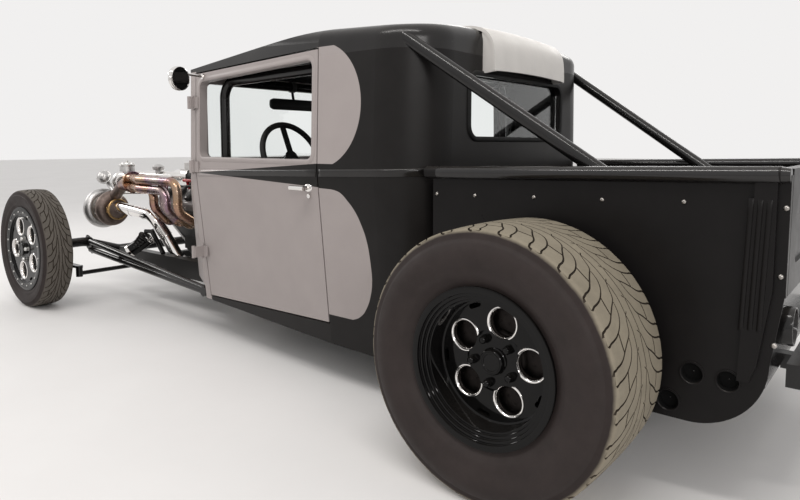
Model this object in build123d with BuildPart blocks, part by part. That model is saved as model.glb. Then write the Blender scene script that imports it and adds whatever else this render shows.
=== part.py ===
from build123d import *
import os
from math import cos, radians, sin

os.makedirs("parts", exist_ok=True)

# Hot rod pickup truck. X runs forward, Y to the left, Z up, in millimetres.
# The origin is on the ground, below the middle of the car's length and width.

# Wheels and stance
WHEELBASE = 3040.0
TAIL_OVERHANG = 650.0
SEAT_GAP = 0.3
RUN_GAP = 5.0

REAR_TYRE_R = 355.6
REAR_TYRE_W = 350.0
REAR_TREAD_W = 300.0
REAR_BEAD_R = 190.5
REAR_RIM_W = 300.0
REAR_TYRE_GAP = 25.0
REAR_DISC_INSET = 78.0
REAR_HOLE_R = 39.5
REAR_HOLE_RING_R = 105.0

FRONT_TYRE_R = 330.2
FRONT_TYRE_W = 155.0
FRONT_TREAD_W = 130.0
FRONT_BEAD_R = 218.0
FRONT_RIM_W = 132.0
FRONT_WHEEL_Y = 810.5
FRONT_DISC_INSET = 10.0
FRONT_HOLE_R = 48.0
FRONT_HOLE_RING_R = 130.0

FLANGE_H = 16.5
FLANGE_T = 8.0
DROP_DEPTH = 18.0
BARREL_T = 7.0
DISC_T = 22.0
LUG_RING_R = 60.3
LUG_R = 11.0
LUG_H = 16.0
CAP_R = 31.0
CAP_H = 14.0
HUB_R = 74.0
HOLES = 5
REAR_HOLE_START = 30.0
FRONT_HOLE_START = -4.0
SLOT_R = 9.0

REAR_AXLE_X = -(WHEELBASE + FRONT_TYRE_R - TAIL_OVERHANG) / 2
FRONT_AXLE_X = REAR_AXLE_X + WHEELBASE
TAIL_X = REAR_AXLE_X - TAIL_OVERHANG


def fore(distance):
    """Station at a distance ahead of the rear axle."""
    return REAR_AXLE_X + distance


# Cab stations and heights
CAB_BACK = fore(410)
DOOR_REAR = fore(865)
DOOR_FRONT = fore(1728)
CAB_FRONT = fore(1770)
FIREWALL = fore(2000)
CAB_WALL = 38.0
CAB_CORNER_R = 190.0
DOOR_GAP = 6.0

# Each cab section: height at the cab's front and at the rear of the door,
# and half width there and at the cab's back, before the corners are rounded
SECTIONS = {
    "sill": dict(z_front=185.0, z_rear=160.0, w_front=541.0, w_rear=600.0, w_back=596.0),
    "belt": dict(z_front=790.0, z_rear=815.0, w_front=606.0, w_rear=664.0, w_back=660.0),
    "drip": dict(z_front=1228.0, z_rear=1228.0, w_front=592.0, w_rear=650.0, w_back=644.0),
}
ROOF_TOP = 1360.0
ROOF_EDGE_R = 50.0
ROOF_CROWN_R = 5600.0
ROOF_T = 24.0
ROOF_TURN = fore(890)
ROOF_TURN_R = 2400.0
ROOF_FALL_BACK = 3.0
ROOF_FALL_FRONT = 5.1
ROOF_BLEND = 1.0

ROCKER_TOP_FRONT = 202.0
ROCKER_TOP_REAR = 238.0
DOOR_TOP_FRONT = 1232.0
DOOR_TOP_REAR = 1259.0

SIDE_WINDOW_REAR = fore(902)
SIDE_WINDOW_FRONT = fore(1690)
SIDE_WINDOW_BOTTOM = 857.0
SIDE_WINDOW_TOP_FRONT = 1190.0
SIDE_WINDOW_TOP_REAR = 1220.0
WINDOW_CORNER_R = 28.0
SIDE_CUT_Y = 300.0
SIDE_CUT_DEPTH = 600.0

SCREEN_HALF_W = 535.0
SCREEN_BOTTOM = 850.0
SCREEN_TOP = 1192.0
GLASS_T = 6.0

REAR_WINDOW_HALF_W = 360.0
REAR_WINDOW_BOTTOM = 937.0
REAR_WINDOW_TOP = 1160.0
REAR_WINDOW_R = 45.0

COWL_FRONT_HALF_W = 462.0
COWL_FRONT_SILL_HALF_W = 430.0
COWL_FRONT_TOP = 668.0
COWL_CROWN = 42.0
COWL_BOTTOM = 245.0
COWL_T = 16.0

FLOOR_Z = 292.0
FLOOR_T = 8.0
TUNNEL_FRONT_R = 212.0
TUNNEL_REAR_R = 125.0
TUNNEL_STEP = fore(1330)

# Frame
RAIL_Y = 350.0
RAIL_W = 50.0
RAIL_H = 100.0
RAIL_BOTTOM = 192.0
RAIL_FRONT = fore(2940)
RAIL_REAR = fore(-560)
KICK_FRONT = fore(620)
KICK_TOP = fore(330)
KICK_Z = 458.0
CROSS_W = 50.0
CROSS_H = 45.0

# Load bed
BED_HALF_W = 590.0
BED_T = 4.0
BED_FRONT = fore(398)
BED_REAR = fore(-600)
BED_FLOOR_Z = 575.0
BED_FLOOR_T = 14.0
BED_RAIL_R = 20.0
BED_POST_IN = 23.0
BED_STRIP_T = 12.0
BED_TUCK = 25.0
BED_TOP_FRONT = 842.0
BED_TOP_REAR = 863.0
BED_SIDE_BOTTOM = 215.0
BED_SIDE_STEP = 452.0
BED_CORNER_R = 178.0
TAILGATE_T = 30.0
TAILGATE_PIN_R = 6.0
TAILGATE_PIN_L = 14.0
TAILGATE_PIN_IN = 10.0
REAR_WHEEL_Y = BED_HALF_W + REAR_TYRE_GAP + REAR_TYRE_W / 2

# Front axle and steering
KINGPIN_Y = 645.0
KINGPIN_R = 12.0
AXLE_R = 27.0
AXLE_MID_Z = 262.0
AXLE_DROP_Y = 330.0
BOSS_R = 27.0
BOSS_H = 92.0
ARM_BACK = 160.0
ARM_Z = 206.0
TIE_ROD_Z = 174.0
TIE_ROD_R = 12.0
SPINDLE_END = 708.0

# Engine: a V8 with its crankshaft on the centre plane
CRANK_Z = 342.0
ENGINE_REAR = fore(2120)
ENGINE_FRONT = fore(2650)
BLOCK_HALF_W = 118.0
PAN_BOTTOM = 178.0
BANK_ANGLE = 45.0
DECK = 235.0
HEAD_H = 105.0
HEAD_W = 150.0
BORE_PITCH = 110.0
PORT_FIRST = fore(2165)
PORT_RUN = 46.0
PRIMARY_R = 24.0
COLLECTOR_X = fore(2850)
COLLECTOR_Y = 352.0
COLLECTOR_Z = 690.0
TURBO_Y = 350.0
TURBO_Z = 515.0
TURBINE_X = fore(3050)
COMPRESSOR_X = fore(3175)
DOWNPIPE_R = 33.0


def box_between(low, high):
    """Plain block between two opposite corners."""
    size = [b - a for a, b in zip(low, high)]
    middle = [(a + b) / 2 for a, b in zip(low, high)]
    return Pos(*middle) * Box(*size, mode=Mode.PRIVATE)


def bar(start, end, radius):
    """Straight round bar between two points."""
    line = Vector(*end) - Vector(*start)
    ends = Plane(origin=start, z_dir=line)
    return extrude(ends * Circle(radius), amount=line.length)


def bent_tube(points, radius, bend):
    """Round tube along straight runs joined by tangent arcs."""
    path = FilletPolyline(*points, radius=bend)
    start = Plane(origin=path @ 0, z_dir=path % 0)
    return sweep(start * Circle(radius), path=path)


def rake_plane(z_front, z_rear):
    """Nearly level plane through a height at the cab's front and one at the rear of the door."""
    rise = Vector(CAB_FRONT - DOOR_REAR, 0, z_front - z_rear)
    level = z_rear - (z_front - z_rear) * DOOR_REAR / (CAB_FRONT - DOOR_REAR)
    return Plane(origin=(0, 0, level), x_dir=rise, z_dir=rise.cross(Vector(0, 1, 0)))


def height_at(name, x):
    """Height of a cab section's plane at a station."""
    row = SECTIONS[name]
    slope = (row["z_front"] - row["z_rear"]) / (CAB_FRONT - DOOR_REAR)
    return row["z_rear"] + slope * (x - DOOR_REAR)


def half_width_at(name, x):
    """Half width of the cab's outside at a station, as if its rear corners were square."""
    row = SECTIONS[name]
    if x < DOOR_REAR:
        taper = (row["w_rear"] - row["w_back"]) / (DOOR_REAR - CAB_BACK)
        return row["w_rear"] + taper * (x - DOOR_REAR)
    slope = (row["w_front"] - row["w_rear"]) / (CAB_FRONT - DOOR_REAR)
    return row["w_rear"] + slope * (x - DOOR_REAR)


def plan_face(name, inset, front):
    """Outline of the cab from above, drawn in from the outside by an inset."""
    back = CAB_BACK + inset
    w_front = half_width_at(name, front) - inset
    w_rear = half_width_at(name, DOOR_REAR) - inset
    w_back = half_width_at(name, back) - inset
    row = SECTIONS[name]
    with BuildSketch(rake_plane(row["z_front"], row["z_rear"])) as outline:
        with BuildLine():
            Polyline(
                (front, w_front),
                (DOOR_REAR, w_rear),
                (back, w_back),
                (back, -w_back),
                (DOOR_REAR, -w_rear),
                (front, -w_front),
                close=True,
            )
        make_face()
        corners = outline.vertices().sort_by(Axis.X)[:2]
        fillet(corners, CAB_CORNER_R - inset)
    return outline.sketch


# The cab's four walls in one, from sill to drip rail, before they are parted into panels
cab_block = loft([plan_face(name, 0, CAB_FRONT).face() for name in SECTIONS], ruled=True)
with BuildPart() as cab_walls:
    add(cab_block)
    loft(
        [plan_face(name, CAB_WALL, CAB_FRONT - CAB_WALL).face() for name in SECTIONS],
        ruled=True,
        mode=Mode.SUBTRACT,
    )


def door_top(x):
    """Height of the door opening's top edge at a station."""
    slope = (DOOR_TOP_FRONT - DOOR_TOP_REAR) / (CAB_FRONT - DOOR_REAR)
    return DOOR_TOP_REAR + slope * (x - DOOR_REAR)


def side_prism(corners, radius):
    """Prism through the cab's left side wall over an outline seen from the side."""
    with BuildPart() as prism:
        with BuildSketch(Plane.XZ.offset(-SIDE_CUT_Y)) as outline:
            with BuildLine():
                Polyline(*corners, close=True)
            make_face()
            if radius:
                fillet(outline.vertices(), radius)
        extrude(amount=-SIDE_CUT_DEPTH)
    return prism.part


def door_region(gap):
    """Prism that holds the left door, smaller by a gap all round."""
    rear = DOOR_REAR + gap
    front = DOOR_FRONT - gap
    corners = (
        (rear, ROCKER_TOP_REAR + gap),
        (front, ROCKER_TOP_FRONT + gap),
        (front, door_top(front) - gap),
        (rear, door_top(rear) - gap),
    )
    return side_prism(corners, 0)


door_hole = door_region(0)
door_form = door_region(DOOR_GAP)
side_window = side_prism(
    (
        (SIDE_WINDOW_REAR, SIDE_WINDOW_BOTTOM),
        (SIDE_WINDOW_FRONT, SIDE_WINDOW_BOTTOM),
        (SIDE_WINDOW_FRONT, SIDE_WINDOW_TOP_FRONT),
        (SIDE_WINDOW_REAR, SIDE_WINDOW_TOP_REAR),
    ),
    WINDOW_CORNER_R,
)

BACK_CUT_HALF_W = 500.0
screen_plane = Plane.YZ.offset(CAB_FRONT - 2 * CAB_WALL)
rear_wall_plane = Plane.YZ.offset(CAB_BACK - CAB_WALL)
rear_window_z = (REAR_WINDOW_BOTTOM + REAR_WINDOW_TOP) / 2
rear_window_h = REAR_WINDOW_TOP - REAR_WINDOW_BOTTOM
screen_z = (SCREEN_BOTTOM + SCREEN_TOP) / 2
screen_h = SCREEN_TOP - SCREEN_BOTTOM

with BuildPart() as cab_shell:
    add(cab_walls.part)
    add(door_hole, mode=Mode.SUBTRACT)
    add(door_hole.mirror(Plane.XZ), mode=Mode.SUBTRACT)
    with BuildSketch(screen_plane):
        with Locations((0, screen_z)):
            RectangleRounded(2 * SCREEN_HALF_W, screen_h, WINDOW_CORNER_R)
    extrude(amount=3 * CAB_WALL, mode=Mode.SUBTRACT)
    with BuildSketch(screen_plane):
        with Locations((0, FLOOR_Z - FLOOR_T)):
            Rectangle(2 * BACK_CUT_HALF_W, 2 * (SCREEN_BOTTOM - FLOOR_Z - CAB_WALL))
    extrude(amount=3 * CAB_WALL, mode=Mode.SUBTRACT)
    with BuildSketch(rear_wall_plane):
        with Locations((0, rear_window_z)):
            RectangleRounded(2 * REAR_WINDOW_HALF_W, rear_window_h, REAR_WINDOW_R)
        with Locations((0, 0)):
            Rectangle(2 * BACK_CUT_HALF_W, 2 * BED_FLOOR_Z)
    extrude(amount=3 * CAB_WALL, mode=Mode.SUBTRACT)
cab_shell.part.label = "cab_shell"
export_step(cab_shell.part, "parts/cab_shell.step")

# Roof cap, hollow below, that falls to the windscreen and a little to the back
drip_plane = rake_plane(SECTIONS["drip"]["z_front"], SECTIONS["drip"]["z_rear"])
ROOF_RISE = ROOF_TOP - SECTIONS["drip"]["z_rear"]
CROWN_LEN = 6000.0
CROWN_HALF_W = 800.0
CROWN_DEPTH = 300.0
FALL_RUN_FRONT = 1400.0
FALL_RUN_BACK = 1000.0


def crown(drop):
    """Long cylinder that gives the roof its crown from side to side and its fall to the back."""
    lean = Pos(ROOF_TURN, 0, ROOF_TOP - drop) * Rot(0, -ROOF_FALL_BACK, 0)
    return lean * Pos(0, 0, -ROOF_CROWN_R) * Rot(0, 90, 0) * Cylinder(ROOF_CROWN_R, CROWN_LEN)


def front_crown(drop):
    """Crowned block whose top turns gently down towards the windscreen."""
    turn = Vector(ROOF_TURN, 0, ROOF_TOP + ROOF_BLEND - drop)
    fall_front = radians(ROOF_FALL_FRONT)
    fall_back = radians(ROOF_FALL_BACK)
    ahead = turn + Vector(cos(fall_front), 0, -sin(fall_front)) * FALL_RUN_FRONT
    behind = turn - Vector(cos(fall_back), 0, sin(fall_back)) * FALL_RUN_BACK
    path = FilletPolyline(ahead, turn, behind, radius=ROOF_TURN_R)
    edge = -(CROWN_HALF_W**2) / (2 * ROOF_CROWN_R)
    top = ThreePointArc((CROWN_HALF_W, edge), (0, 0), (-CROWN_HALF_W, edge))
    rest = Polyline(
        (-CROWN_HALF_W, edge), (-CROWN_HALF_W, -CROWN_DEPTH), (CROWN_HALF_W, -CROWN_DEPTH), (CROWN_HALF_W, edge)
    )
    across = Plane(origin=path @ 0, x_dir=(0, -1, 0), z_dir=path % 0)
    return sweep(across * make_face(top + rest), path=path)


crown_outer = crown(0)
crown_inner = crown(ROOF_T)
front_outer = front_crown(0)
front_inner = front_crown(ROOF_T)
with BuildPart() as roof:
    with BuildSketch(drip_plane):
        add(plan_face("drip", 0, CAB_FRONT).face().moved(drip_plane.location.inverse()))
    extrude(amount=ROOF_RISE + 2 * CAB_WALL)
    add(crown_outer, mode=Mode.INTERSECT)
    fillet(roof.faces().sort_by(Axis.Z)[-1].edges(), ROOF_EDGE_R)
    add(front_outer, mode=Mode.INTERSECT)
with BuildPart() as roof_hollow:
    with BuildSketch(drip_plane):
        inner = plan_face("drip", CAB_WALL, CAB_FRONT - CAB_WALL).face()
        add(inner.moved(drip_plane.location.inverse()))
    extrude(amount=ROOF_RISE + 2 * CAB_WALL)
    add(crown_inner, mode=Mode.INTERSECT)
    add(front_inner, mode=Mode.INTERSECT)
roof_shell = roof.part - roof_hollow.part
roof_cap = roof_shell - door_hole - door_hole.mirror(Plane.XZ)
roof_cap.label = "roof"
export_step(roof_cap, "parts/roof.step")

# Doors
HINGE_X = DOOR_FRONT + 9.0
HINGE_Y = half_width_at("belt", DOOR_FRONT) + 17.0
HINGE_R = 8.0
HINGE_LEN = 56.0
HINGE_HEIGHTS = (420.0, 812.0, 1100.0)
LEAF_T = 7.0
LEAF_LEN = 26.0
HANDLE_X = fore(944)
HANDLE_Z = 752.0
MIRROR_X = fore(1651)
MIRROR_OUT = 128.0
MIRROR_Z = 1194.0
MIRROR_R = 52.0
MIRROR_T = 16.0
MIRROR_TURN = 12.0


def outside_at(x, z):
    """Half width of the cab's outside at a station and height."""
    low, high = ("sill", "belt") if z < height_at("belt", x) else ("belt", "drip")
    z_low = height_at(low, x)
    z_high = height_at(high, x)
    share = (z - z_low) / (z_high - z_low)
    return half_width_at(low, x) * (1 - share) + half_width_at(high, x) * share


with BuildPart() as door_left:
    add(cab_walls.part)
    add(roof_shell)
    add(door_form, mode=Mode.INTERSECT)
    add(side_window, mode=Mode.SUBTRACT)
door_left.part.label = "door_left"
export_step(door_left.part, "parts/door_left.step")
with BuildPart() as door_right:
    add(door_left.part.mirror(Plane.XZ))
door_right.part.label = "door_right"
export_step(door_right.part, "parts/door_right.step")

# Hinges with leaves on the door, handle and mirror, all bright metal
barrels = []
leaves = []
leaf_rear = DOOR_FRONT - DOOR_GAP - LEAF_LEN
for z in HINGE_HEIGHTS:
    barrels.append(Pos(HINGE_X, HINGE_Y, z) * Cylinder(HINGE_R, HINGE_LEN))
    skin = max(outside_at(leaf_rear, z + lift * HINGE_LEN / 2) for lift in (-1, -0.5, 0, 0.5, 1))
    leaves.append(
        box_between(
            (leaf_rear, skin + SEAT_GAP, z - HINGE_LEN / 2 + 4),
            (HINGE_X, skin + SEAT_GAP + LEAF_T, z + HINGE_LEN / 2 - 4),
        )
    )
    leaves.append(
        box_between(
            (HINGE_X - HINGE_R - LEAF_T, skin + SEAT_GAP, z - HINGE_LEN / 2 + 4),
            (HINGE_X, HINGE_Y, z + HINGE_LEN / 2 - 4),
        )
    )
for side, sign in (("left", 1), ("right", -1)):
    with BuildPart() as door_hinges:
        for leaf, extra, barrel in zip(leaves[::2], leaves[1::2], barrels):
            add(barrel)
            add(leaf)
            add(extra)
    hinge_set = door_hinges.part if sign > 0 else door_hinges.part.mirror(Plane.XZ)
    hinge_set.label = f"door_hinges_{side}"
    export_step(hinge_set, f"parts/door_hinges_{side}.step")

HANDLE_LEN = 76.0
HANDLE_R = 9.0
HANDLE_STAND = 38.0
HANDLE_POST_R = 7.5
handle_skin = outside_at(HANDLE_X - HANDLE_LEN / 4, HANDLE_Z + HANDLE_R)
MIRROR_ROOT_X = fore(1655)
MIRROR_ROOT_Z = 1212.0
MIRROR_BOSS_R = 12.0
MIRROR_BOSS_T = 9.0
MIRROR_ARM_R = 6.0
MIRROR_ARM_RISE = 26.0
mirror_skin = outside_at(MIRROR_ROOT_X - MIRROR_BOSS_R, MIRROR_ROOT_Z - MIRROR_BOSS_R)
mirror_y = mirror_skin + MIRROR_OUT
for side, sign in (("left", 1), ("right", -1)):
    grip = bar(
        (HANDLE_X - HANDLE_LEN / 2, handle_skin + HANDLE_STAND, HANDLE_Z),
        (HANDLE_X + HANDLE_LEN / 2, handle_skin + HANDLE_STAND, HANDLE_Z),
        HANDLE_R,
    )
    post = bar(
        (HANDLE_X - HANDLE_LEN / 4, handle_skin + SEAT_GAP, HANDLE_Z),
        (HANDLE_X - HANDLE_LEN / 4, handle_skin + HANDLE_STAND + 2, HANDLE_Z),
        HANDLE_POST_R,
    )
    boss = bar(
        (MIRROR_ROOT_X, mirror_skin + SEAT_GAP, MIRROR_ROOT_Z),
        (MIRROR_ROOT_X, mirror_skin + SEAT_GAP + MIRROR_BOSS_T, MIRROR_ROOT_Z),
        MIRROR_BOSS_R,
    )
    arm = bar(
        (MIRROR_ROOT_X, mirror_skin + MIRROR_BOSS_T / 2, MIRROR_ROOT_Z),
        (MIRROR_X + MIRROR_T / 2, mirror_y, MIRROR_Z + MIRROR_ARM_RISE),
        MIRROR_ARM_R,
    )
    head = Cylinder(MIRROR_R, MIRROR_T)
    head = fillet(head.edges(), MIRROR_T / 3)
    head = Pos(MIRROR_X, mirror_y, MIRROR_Z) * Rot(0, 0, MIRROR_TURN) * Rot(0, 90, 0) * head
    with BuildPart() as fittings:
        add(grip)
        add(post)
        add(boss)
        add(arm)
        add(head)
    door_fittings = fittings.part if sign > 0 else fittings.part.mirror(Plane.XZ)
    door_fittings.label = f"door_fittings_{side}"
    export_step(door_fittings, f"parts/door_fittings_{side}.step")

# Glass
with BuildPart() as windscreen:
    with BuildSketch(Plane.YZ.offset(CAB_FRONT - CAB_WALL / 2)):
        with Locations((0, screen_z)):
            RectangleRounded(
                2 * SCREEN_HALF_W - 2 * SEAT_GAP, screen_h - 2 * SEAT_GAP, WINDOW_CORNER_R
            )
    extrude(amount=GLASS_T)
windscreen.part.label = "windscreen"
export_step(windscreen.part, "parts/windscreen.step")
with BuildPart() as rear_glass:
    with BuildSketch(Plane.YZ.offset(CAB_BACK + CAB_WALL / 2)):
        with Locations((0, rear_window_z)):
            RectangleRounded(
                2 * REAR_WINDOW_HALF_W - 2 * SEAT_GAP, rear_window_h - 2 * SEAT_GAP, REAR_WINDOW_R
            )
    extrude(amount=GLASS_T)
rear_glass.part.label = "rear_glass"
export_step(rear_glass.part, "parts/rear_glass.step")


def cowl_face(x, bottom_half_w, top_half_w, top_z, crown_h, inset, bottom_z):
    """Cowl section across the car: upright sides and a crowned top."""
    low = bottom_half_w - inset
    high = top_half_w - inset
    with BuildSketch(Plane.YZ.offset(x)) as outline:
        with BuildLine():
            Polyline((-high, top_z - inset), (-low, bottom_z), (low, bottom_z), (high, top_z - inset))
            ThreePointArc((high, top_z - inset), (0, top_z + crown_h - inset), (-high, top_z - inset))
        make_face()
    return outline.sketch.face()


cowl_rear_z = height_at("belt", CAB_FRONT)
cowl_rear = (outside_at(CAB_FRONT, COWL_BOTTOM), half_width_at("belt", CAB_FRONT), cowl_rear_z, COWL_CROWN)
cowl_front = (COWL_FRONT_SILL_HALF_W, COWL_FRONT_HALF_W, COWL_FRONT_TOP, COWL_CROWN)
tunnel_z = FLOOR_Z
with BuildPart() as cowl:
    loft(
        [
            cowl_face(CAB_FRONT, *cowl_rear, 0, COWL_BOTTOM),
            cowl_face(FIREWALL, *cowl_front, 0, COWL_BOTTOM),
        ]
    )
    loft(
        [
            cowl_face(CAB_FRONT, *cowl_rear, COWL_T, COWL_BOTTOM),
            cowl_face(FIREWALL - COWL_T, *cowl_front, COWL_T, COWL_BOTTOM),
        ],
        mode=Mode.SUBTRACT,
    )
    with BuildSketch(Plane.YZ.offset(FIREWALL - 2 * COWL_T)):
        with Locations((0, tunnel_z)):
            Circle(TUNNEL_FRONT_R)
        with Locations((0, tunnel_z - TUNNEL_FRONT_R / 2)):
            Rectangle(2 * TUNNEL_FRONT_R, TUNNEL_FRONT_R)
    extrude(amount=3 * COWL_T, mode=Mode.SUBTRACT)
    add(
        box_between(
            (CAB_FRONT, -RAIL_Y - RAIL_W, COWL_BOTTOM - COWL_T),
            (FIREWALL + COWL_T, RAIL_Y + RAIL_W, FLOOR_Z),
        ),
        mode=Mode.SUBTRACT,
    )
cowl.part.label = "cowl"
export_step(cowl.part, "parts/cowl.step")

# Floor with a stepped tunnel over the driveline and a riser over the frame's kick-up
FLOOR_FRONT = FIREWALL - COWL_T
RISER_FOOT = fore(700)
RISER_TOP = CAB_BACK + CAB_WALL
RISER_TOP_Z = BED_FLOOR_Z
FRONT_FLOOR_HALF_W = 395.0
cab_span = 2 * SECTIONS["belt"]["w_rear"] + 2 * CAB_WALL
cab_inside = loft(
    [plan_face(name, CAB_WALL + SEAT_GAP, CAB_FRONT - CAB_WALL).face() for name in SECTIONS],
    ruled=True,
)
with BuildPart() as cab_floor:
    with BuildSketch(Plane.XZ.offset(-cab_span / 2)):
        with BuildLine():
            Polyline(
                (CAB_FRONT - CAB_WALL, FLOOR_Z),
                (RISER_FOOT, FLOOR_Z),
                (RISER_TOP, RISER_TOP_Z),
                (RISER_TOP, RISER_TOP_Z + 2 * FLOOR_T),
                (RISER_FOOT + FLOOR_T, FLOOR_Z + FLOOR_T),
                (CAB_FRONT - CAB_WALL, FLOOR_Z + FLOOR_T),
                close=True,
            )
        make_face()
    extrude(amount=cab_span)
    add(cab_inside, mode=Mode.INTERSECT)
    with BuildSketch(Plane.XY.offset(FLOOR_Z)):
        with Locations(((CAB_FRONT - CAB_WALL + FLOOR_FRONT) / 2, 0)):
            Rectangle(FLOOR_FRONT - CAB_FRONT + CAB_WALL, 2 * FRONT_FLOOR_HALF_W)
    extrude(amount=FLOOR_T)
    with BuildSketch(Plane.YZ.offset(TUNNEL_STEP)):
        with Locations((0, tunnel_z)):
            Circle(TUNNEL_FRONT_R)
    extrude(amount=FLOOR_FRONT - TUNNEL_STEP)
    with BuildSketch(Plane.YZ.offset(RISER_TOP)):
        with Locations((0, tunnel_z)):
            Circle(TUNNEL_REAR_R)
    extrude(amount=TUNNEL_STEP - RISER_TOP)
    with BuildSketch(Plane.YZ.offset(TUNNEL_STEP + FLOOR_T)):
        with Locations((0, tunnel_z)):
            Circle(TUNNEL_FRONT_R - FLOOR_T)
    extrude(amount=FLOOR_FRONT - TUNNEL_STEP, mode=Mode.SUBTRACT)
    with BuildSketch(Plane.YZ.offset(RISER_TOP - FLOOR_T)):
        with Locations((0, tunnel_z)):
            Circle(TUNNEL_REAR_R - FLOOR_T)
    extrude(amount=TUNNEL_STEP - RISER_TOP + 3 * FLOOR_T, mode=Mode.SUBTRACT)
    split(bisect_by=Plane.XY.offset(FLOOR_Z), keep=Keep.TOP)
cab_floor.part.label = "cab_floor"
export_step(cab_floor.part, "parts/cab_floor.step")


# Frame rails with their kick-up over the rear axle, and cross-members
def rail_side():
    """Side view of one rail."""
    with BuildSketch(Plane.XZ) as side:
        with BuildLine():
            Polyline(
                (RAIL_FRONT, RAIL_BOTTOM),
                (KICK_FRONT, RAIL_BOTTOM),
                (KICK_TOP, KICK_Z),
                (RAIL_REAR, KICK_Z),
                (RAIL_REAR, KICK_Z + RAIL_H),
                (KICK_TOP + RAIL_H / 4, KICK_Z + RAIL_H),
                (KICK_FRONT + RAIL_H / 4, RAIL_BOTTOM + RAIL_H),
                (RAIL_FRONT, RAIL_BOTTOM + RAIL_H),
                close=True,
            )
        make_face()
    return side.sketch.face()


rail_outline = rail_side()
CROSS_STATIONS = (fore(2790), fore(1560), fore(1000))
REAR_CROSS_STATIONS = (fore(250), fore(-530))
with BuildPart() as frame_rails:
    for y in (-RAIL_Y, RAIL_Y):
        with BuildSketch(Plane.XZ.offset(-y - RAIL_W / 2)):
            add(rail_outline)
        extrude(amount=RAIL_W)
    for x in CROSS_STATIONS:
        add(
            box_between(
                (x - CROSS_W / 2, -RAIL_Y, RAIL_BOTTOM),
                (x + CROSS_W / 2, RAIL_Y, RAIL_BOTTOM + CROSS_H),
            )
        )
    for x in REAR_CROSS_STATIONS:
        add(
            box_between(
                (x - CROSS_W / 2, -RAIL_Y, KICK_Z + RAIL_H - CROSS_H),
                (x + CROSS_W / 2, RAIL_Y, KICK_Z + RAIL_H),
            )
        )
frame_rails.part.label = "frame_rails"
export_step(frame_rails.part, "parts/frame_rails.step")

# Dropped tube axle with kingpin bosses
front_axle_z = FRONT_TYRE_R
tube_end = KINGPIN_Y - BOSS_R / 2
axle_points = [
    (FRONT_AXLE_X, -tube_end, front_axle_z),
    (FRONT_AXLE_X, -KINGPIN_Y + 110, front_axle_z),
    (FRONT_AXLE_X, -AXLE_DROP_Y, AXLE_MID_Z),
    (FRONT_AXLE_X, AXLE_DROP_Y, AXLE_MID_Z),
    (FRONT_AXLE_X, KINGPIN_Y - 110, front_axle_z),
    (FRONT_AXLE_X, tube_end, front_axle_z),
]
axle_tube = bent_tube(axle_points, AXLE_R, 120)
with BuildPart() as front_axle:
    add(axle_tube)
    with BuildSketch(Plane.XY.offset(front_axle_z - BOSS_H / 2)):
        with Locations((FRONT_AXLE_X, -KINGPIN_Y), (FRONT_AXLE_X, KINGPIN_Y)):
            Circle(BOSS_R)
    extrude(amount=BOSS_H)
    with Locations((FRONT_AXLE_X, -KINGPIN_Y, front_axle_z), (FRONT_AXLE_X, KINGPIN_Y, front_axle_z)):
        Cylinder(KINGPIN_R + 0.05, 2 * BOSS_H, mode=Mode.SUBTRACT)
front_axle.part.label = "front_axle"
export_step(front_axle.part, "parts/front_axle.step")

# Knuckles: a fork round the axle's boss, kingpin, spindle and steering arm
FORK_T = 16.0
FORK_W = 58.0
FORK_GAP = 0.5
fork_top = front_axle_z + BOSS_H / 2 + FORK_GAP
fork_low = front_axle_z - BOSS_H / 2 - FORK_GAP
fork_back_y = KINGPIN_Y + BOSS_R + 4.0
SPINDLE_R = 30.0
for side, sign in (("left", 1), ("right", -1)):
    with BuildPart() as knuckle:
        with Locations((FRONT_AXLE_X, KINGPIN_Y, front_axle_z)):
            Cylinder(KINGPIN_R, BOSS_H + 2 * FORK_GAP + 2 * FORK_T)
        for z in (fork_top, fork_low - FORK_T):
            with BuildSketch(Plane.XY.offset(z)):
                with Locations((FRONT_AXLE_X, KINGPIN_Y)):
                    Circle(FORK_W / 2)
                with Locations((FRONT_AXLE_X, (KINGPIN_Y + fork_back_y + FORK_T) / 2)):
                    Rectangle(FORK_W, fork_back_y + FORK_T - KINGPIN_Y)
            extrude(amount=FORK_T)
        with BuildSketch(Plane.XZ.offset(-fork_back_y - FORK_T)):
            with Locations((FRONT_AXLE_X, front_axle_z)):
                RectangleRounded(FORK_W + 30, BOSS_H + 2 * FORK_GAP + 2 * FORK_T, 12)
        extrude(amount=FORK_T)
        with BuildSketch(Plane.XZ.offset(-SPINDLE_END)):
            with Locations((FRONT_AXLE_X, front_axle_z)):
                Circle(SPINDLE_R)
        extrude(amount=SPINDLE_END - fork_back_y)
        with BuildSketch(Plane.XY.offset(ARM_Z)):
            with BuildLine():
                Polyline(
                    (FRONT_AXLE_X - ARM_BACK, KINGPIN_Y + 14),
                    (FRONT_AXLE_X - ARM_BACK, KINGPIN_Y - 14),
                    (FRONT_AXLE_X - 10, KINGPIN_Y - 14),
                    (FRONT_AXLE_X + FORK_W / 2, fork_back_y),
                    (FRONT_AXLE_X + FORK_W / 2, fork_back_y + FORK_T),
                    (FRONT_AXLE_X - FORK_W / 2, fork_back_y + FORK_T),
                    close=True,
                )
            make_face()
            with Locations((FRONT_AXLE_X - ARM_BACK, KINGPIN_Y)):
                Circle(20)
        extrude(amount=14)
        with BuildSketch(Plane.XY.offset(ARM_Z)):
            with Locations((FRONT_AXLE_X, fork_back_y + FORK_T / 2)):
                Rectangle(FORK_W, FORK_T)
        extrude(amount=fork_low - ARM_Z)
    steering_knuckle = knuckle.part if sign > 0 else knuckle.part.mirror(Plane.XZ)
    steering_knuckle.label = f"knuckle_{side}"
    export_step(steering_knuckle, f"parts/knuckle_{side}.step")

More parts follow.
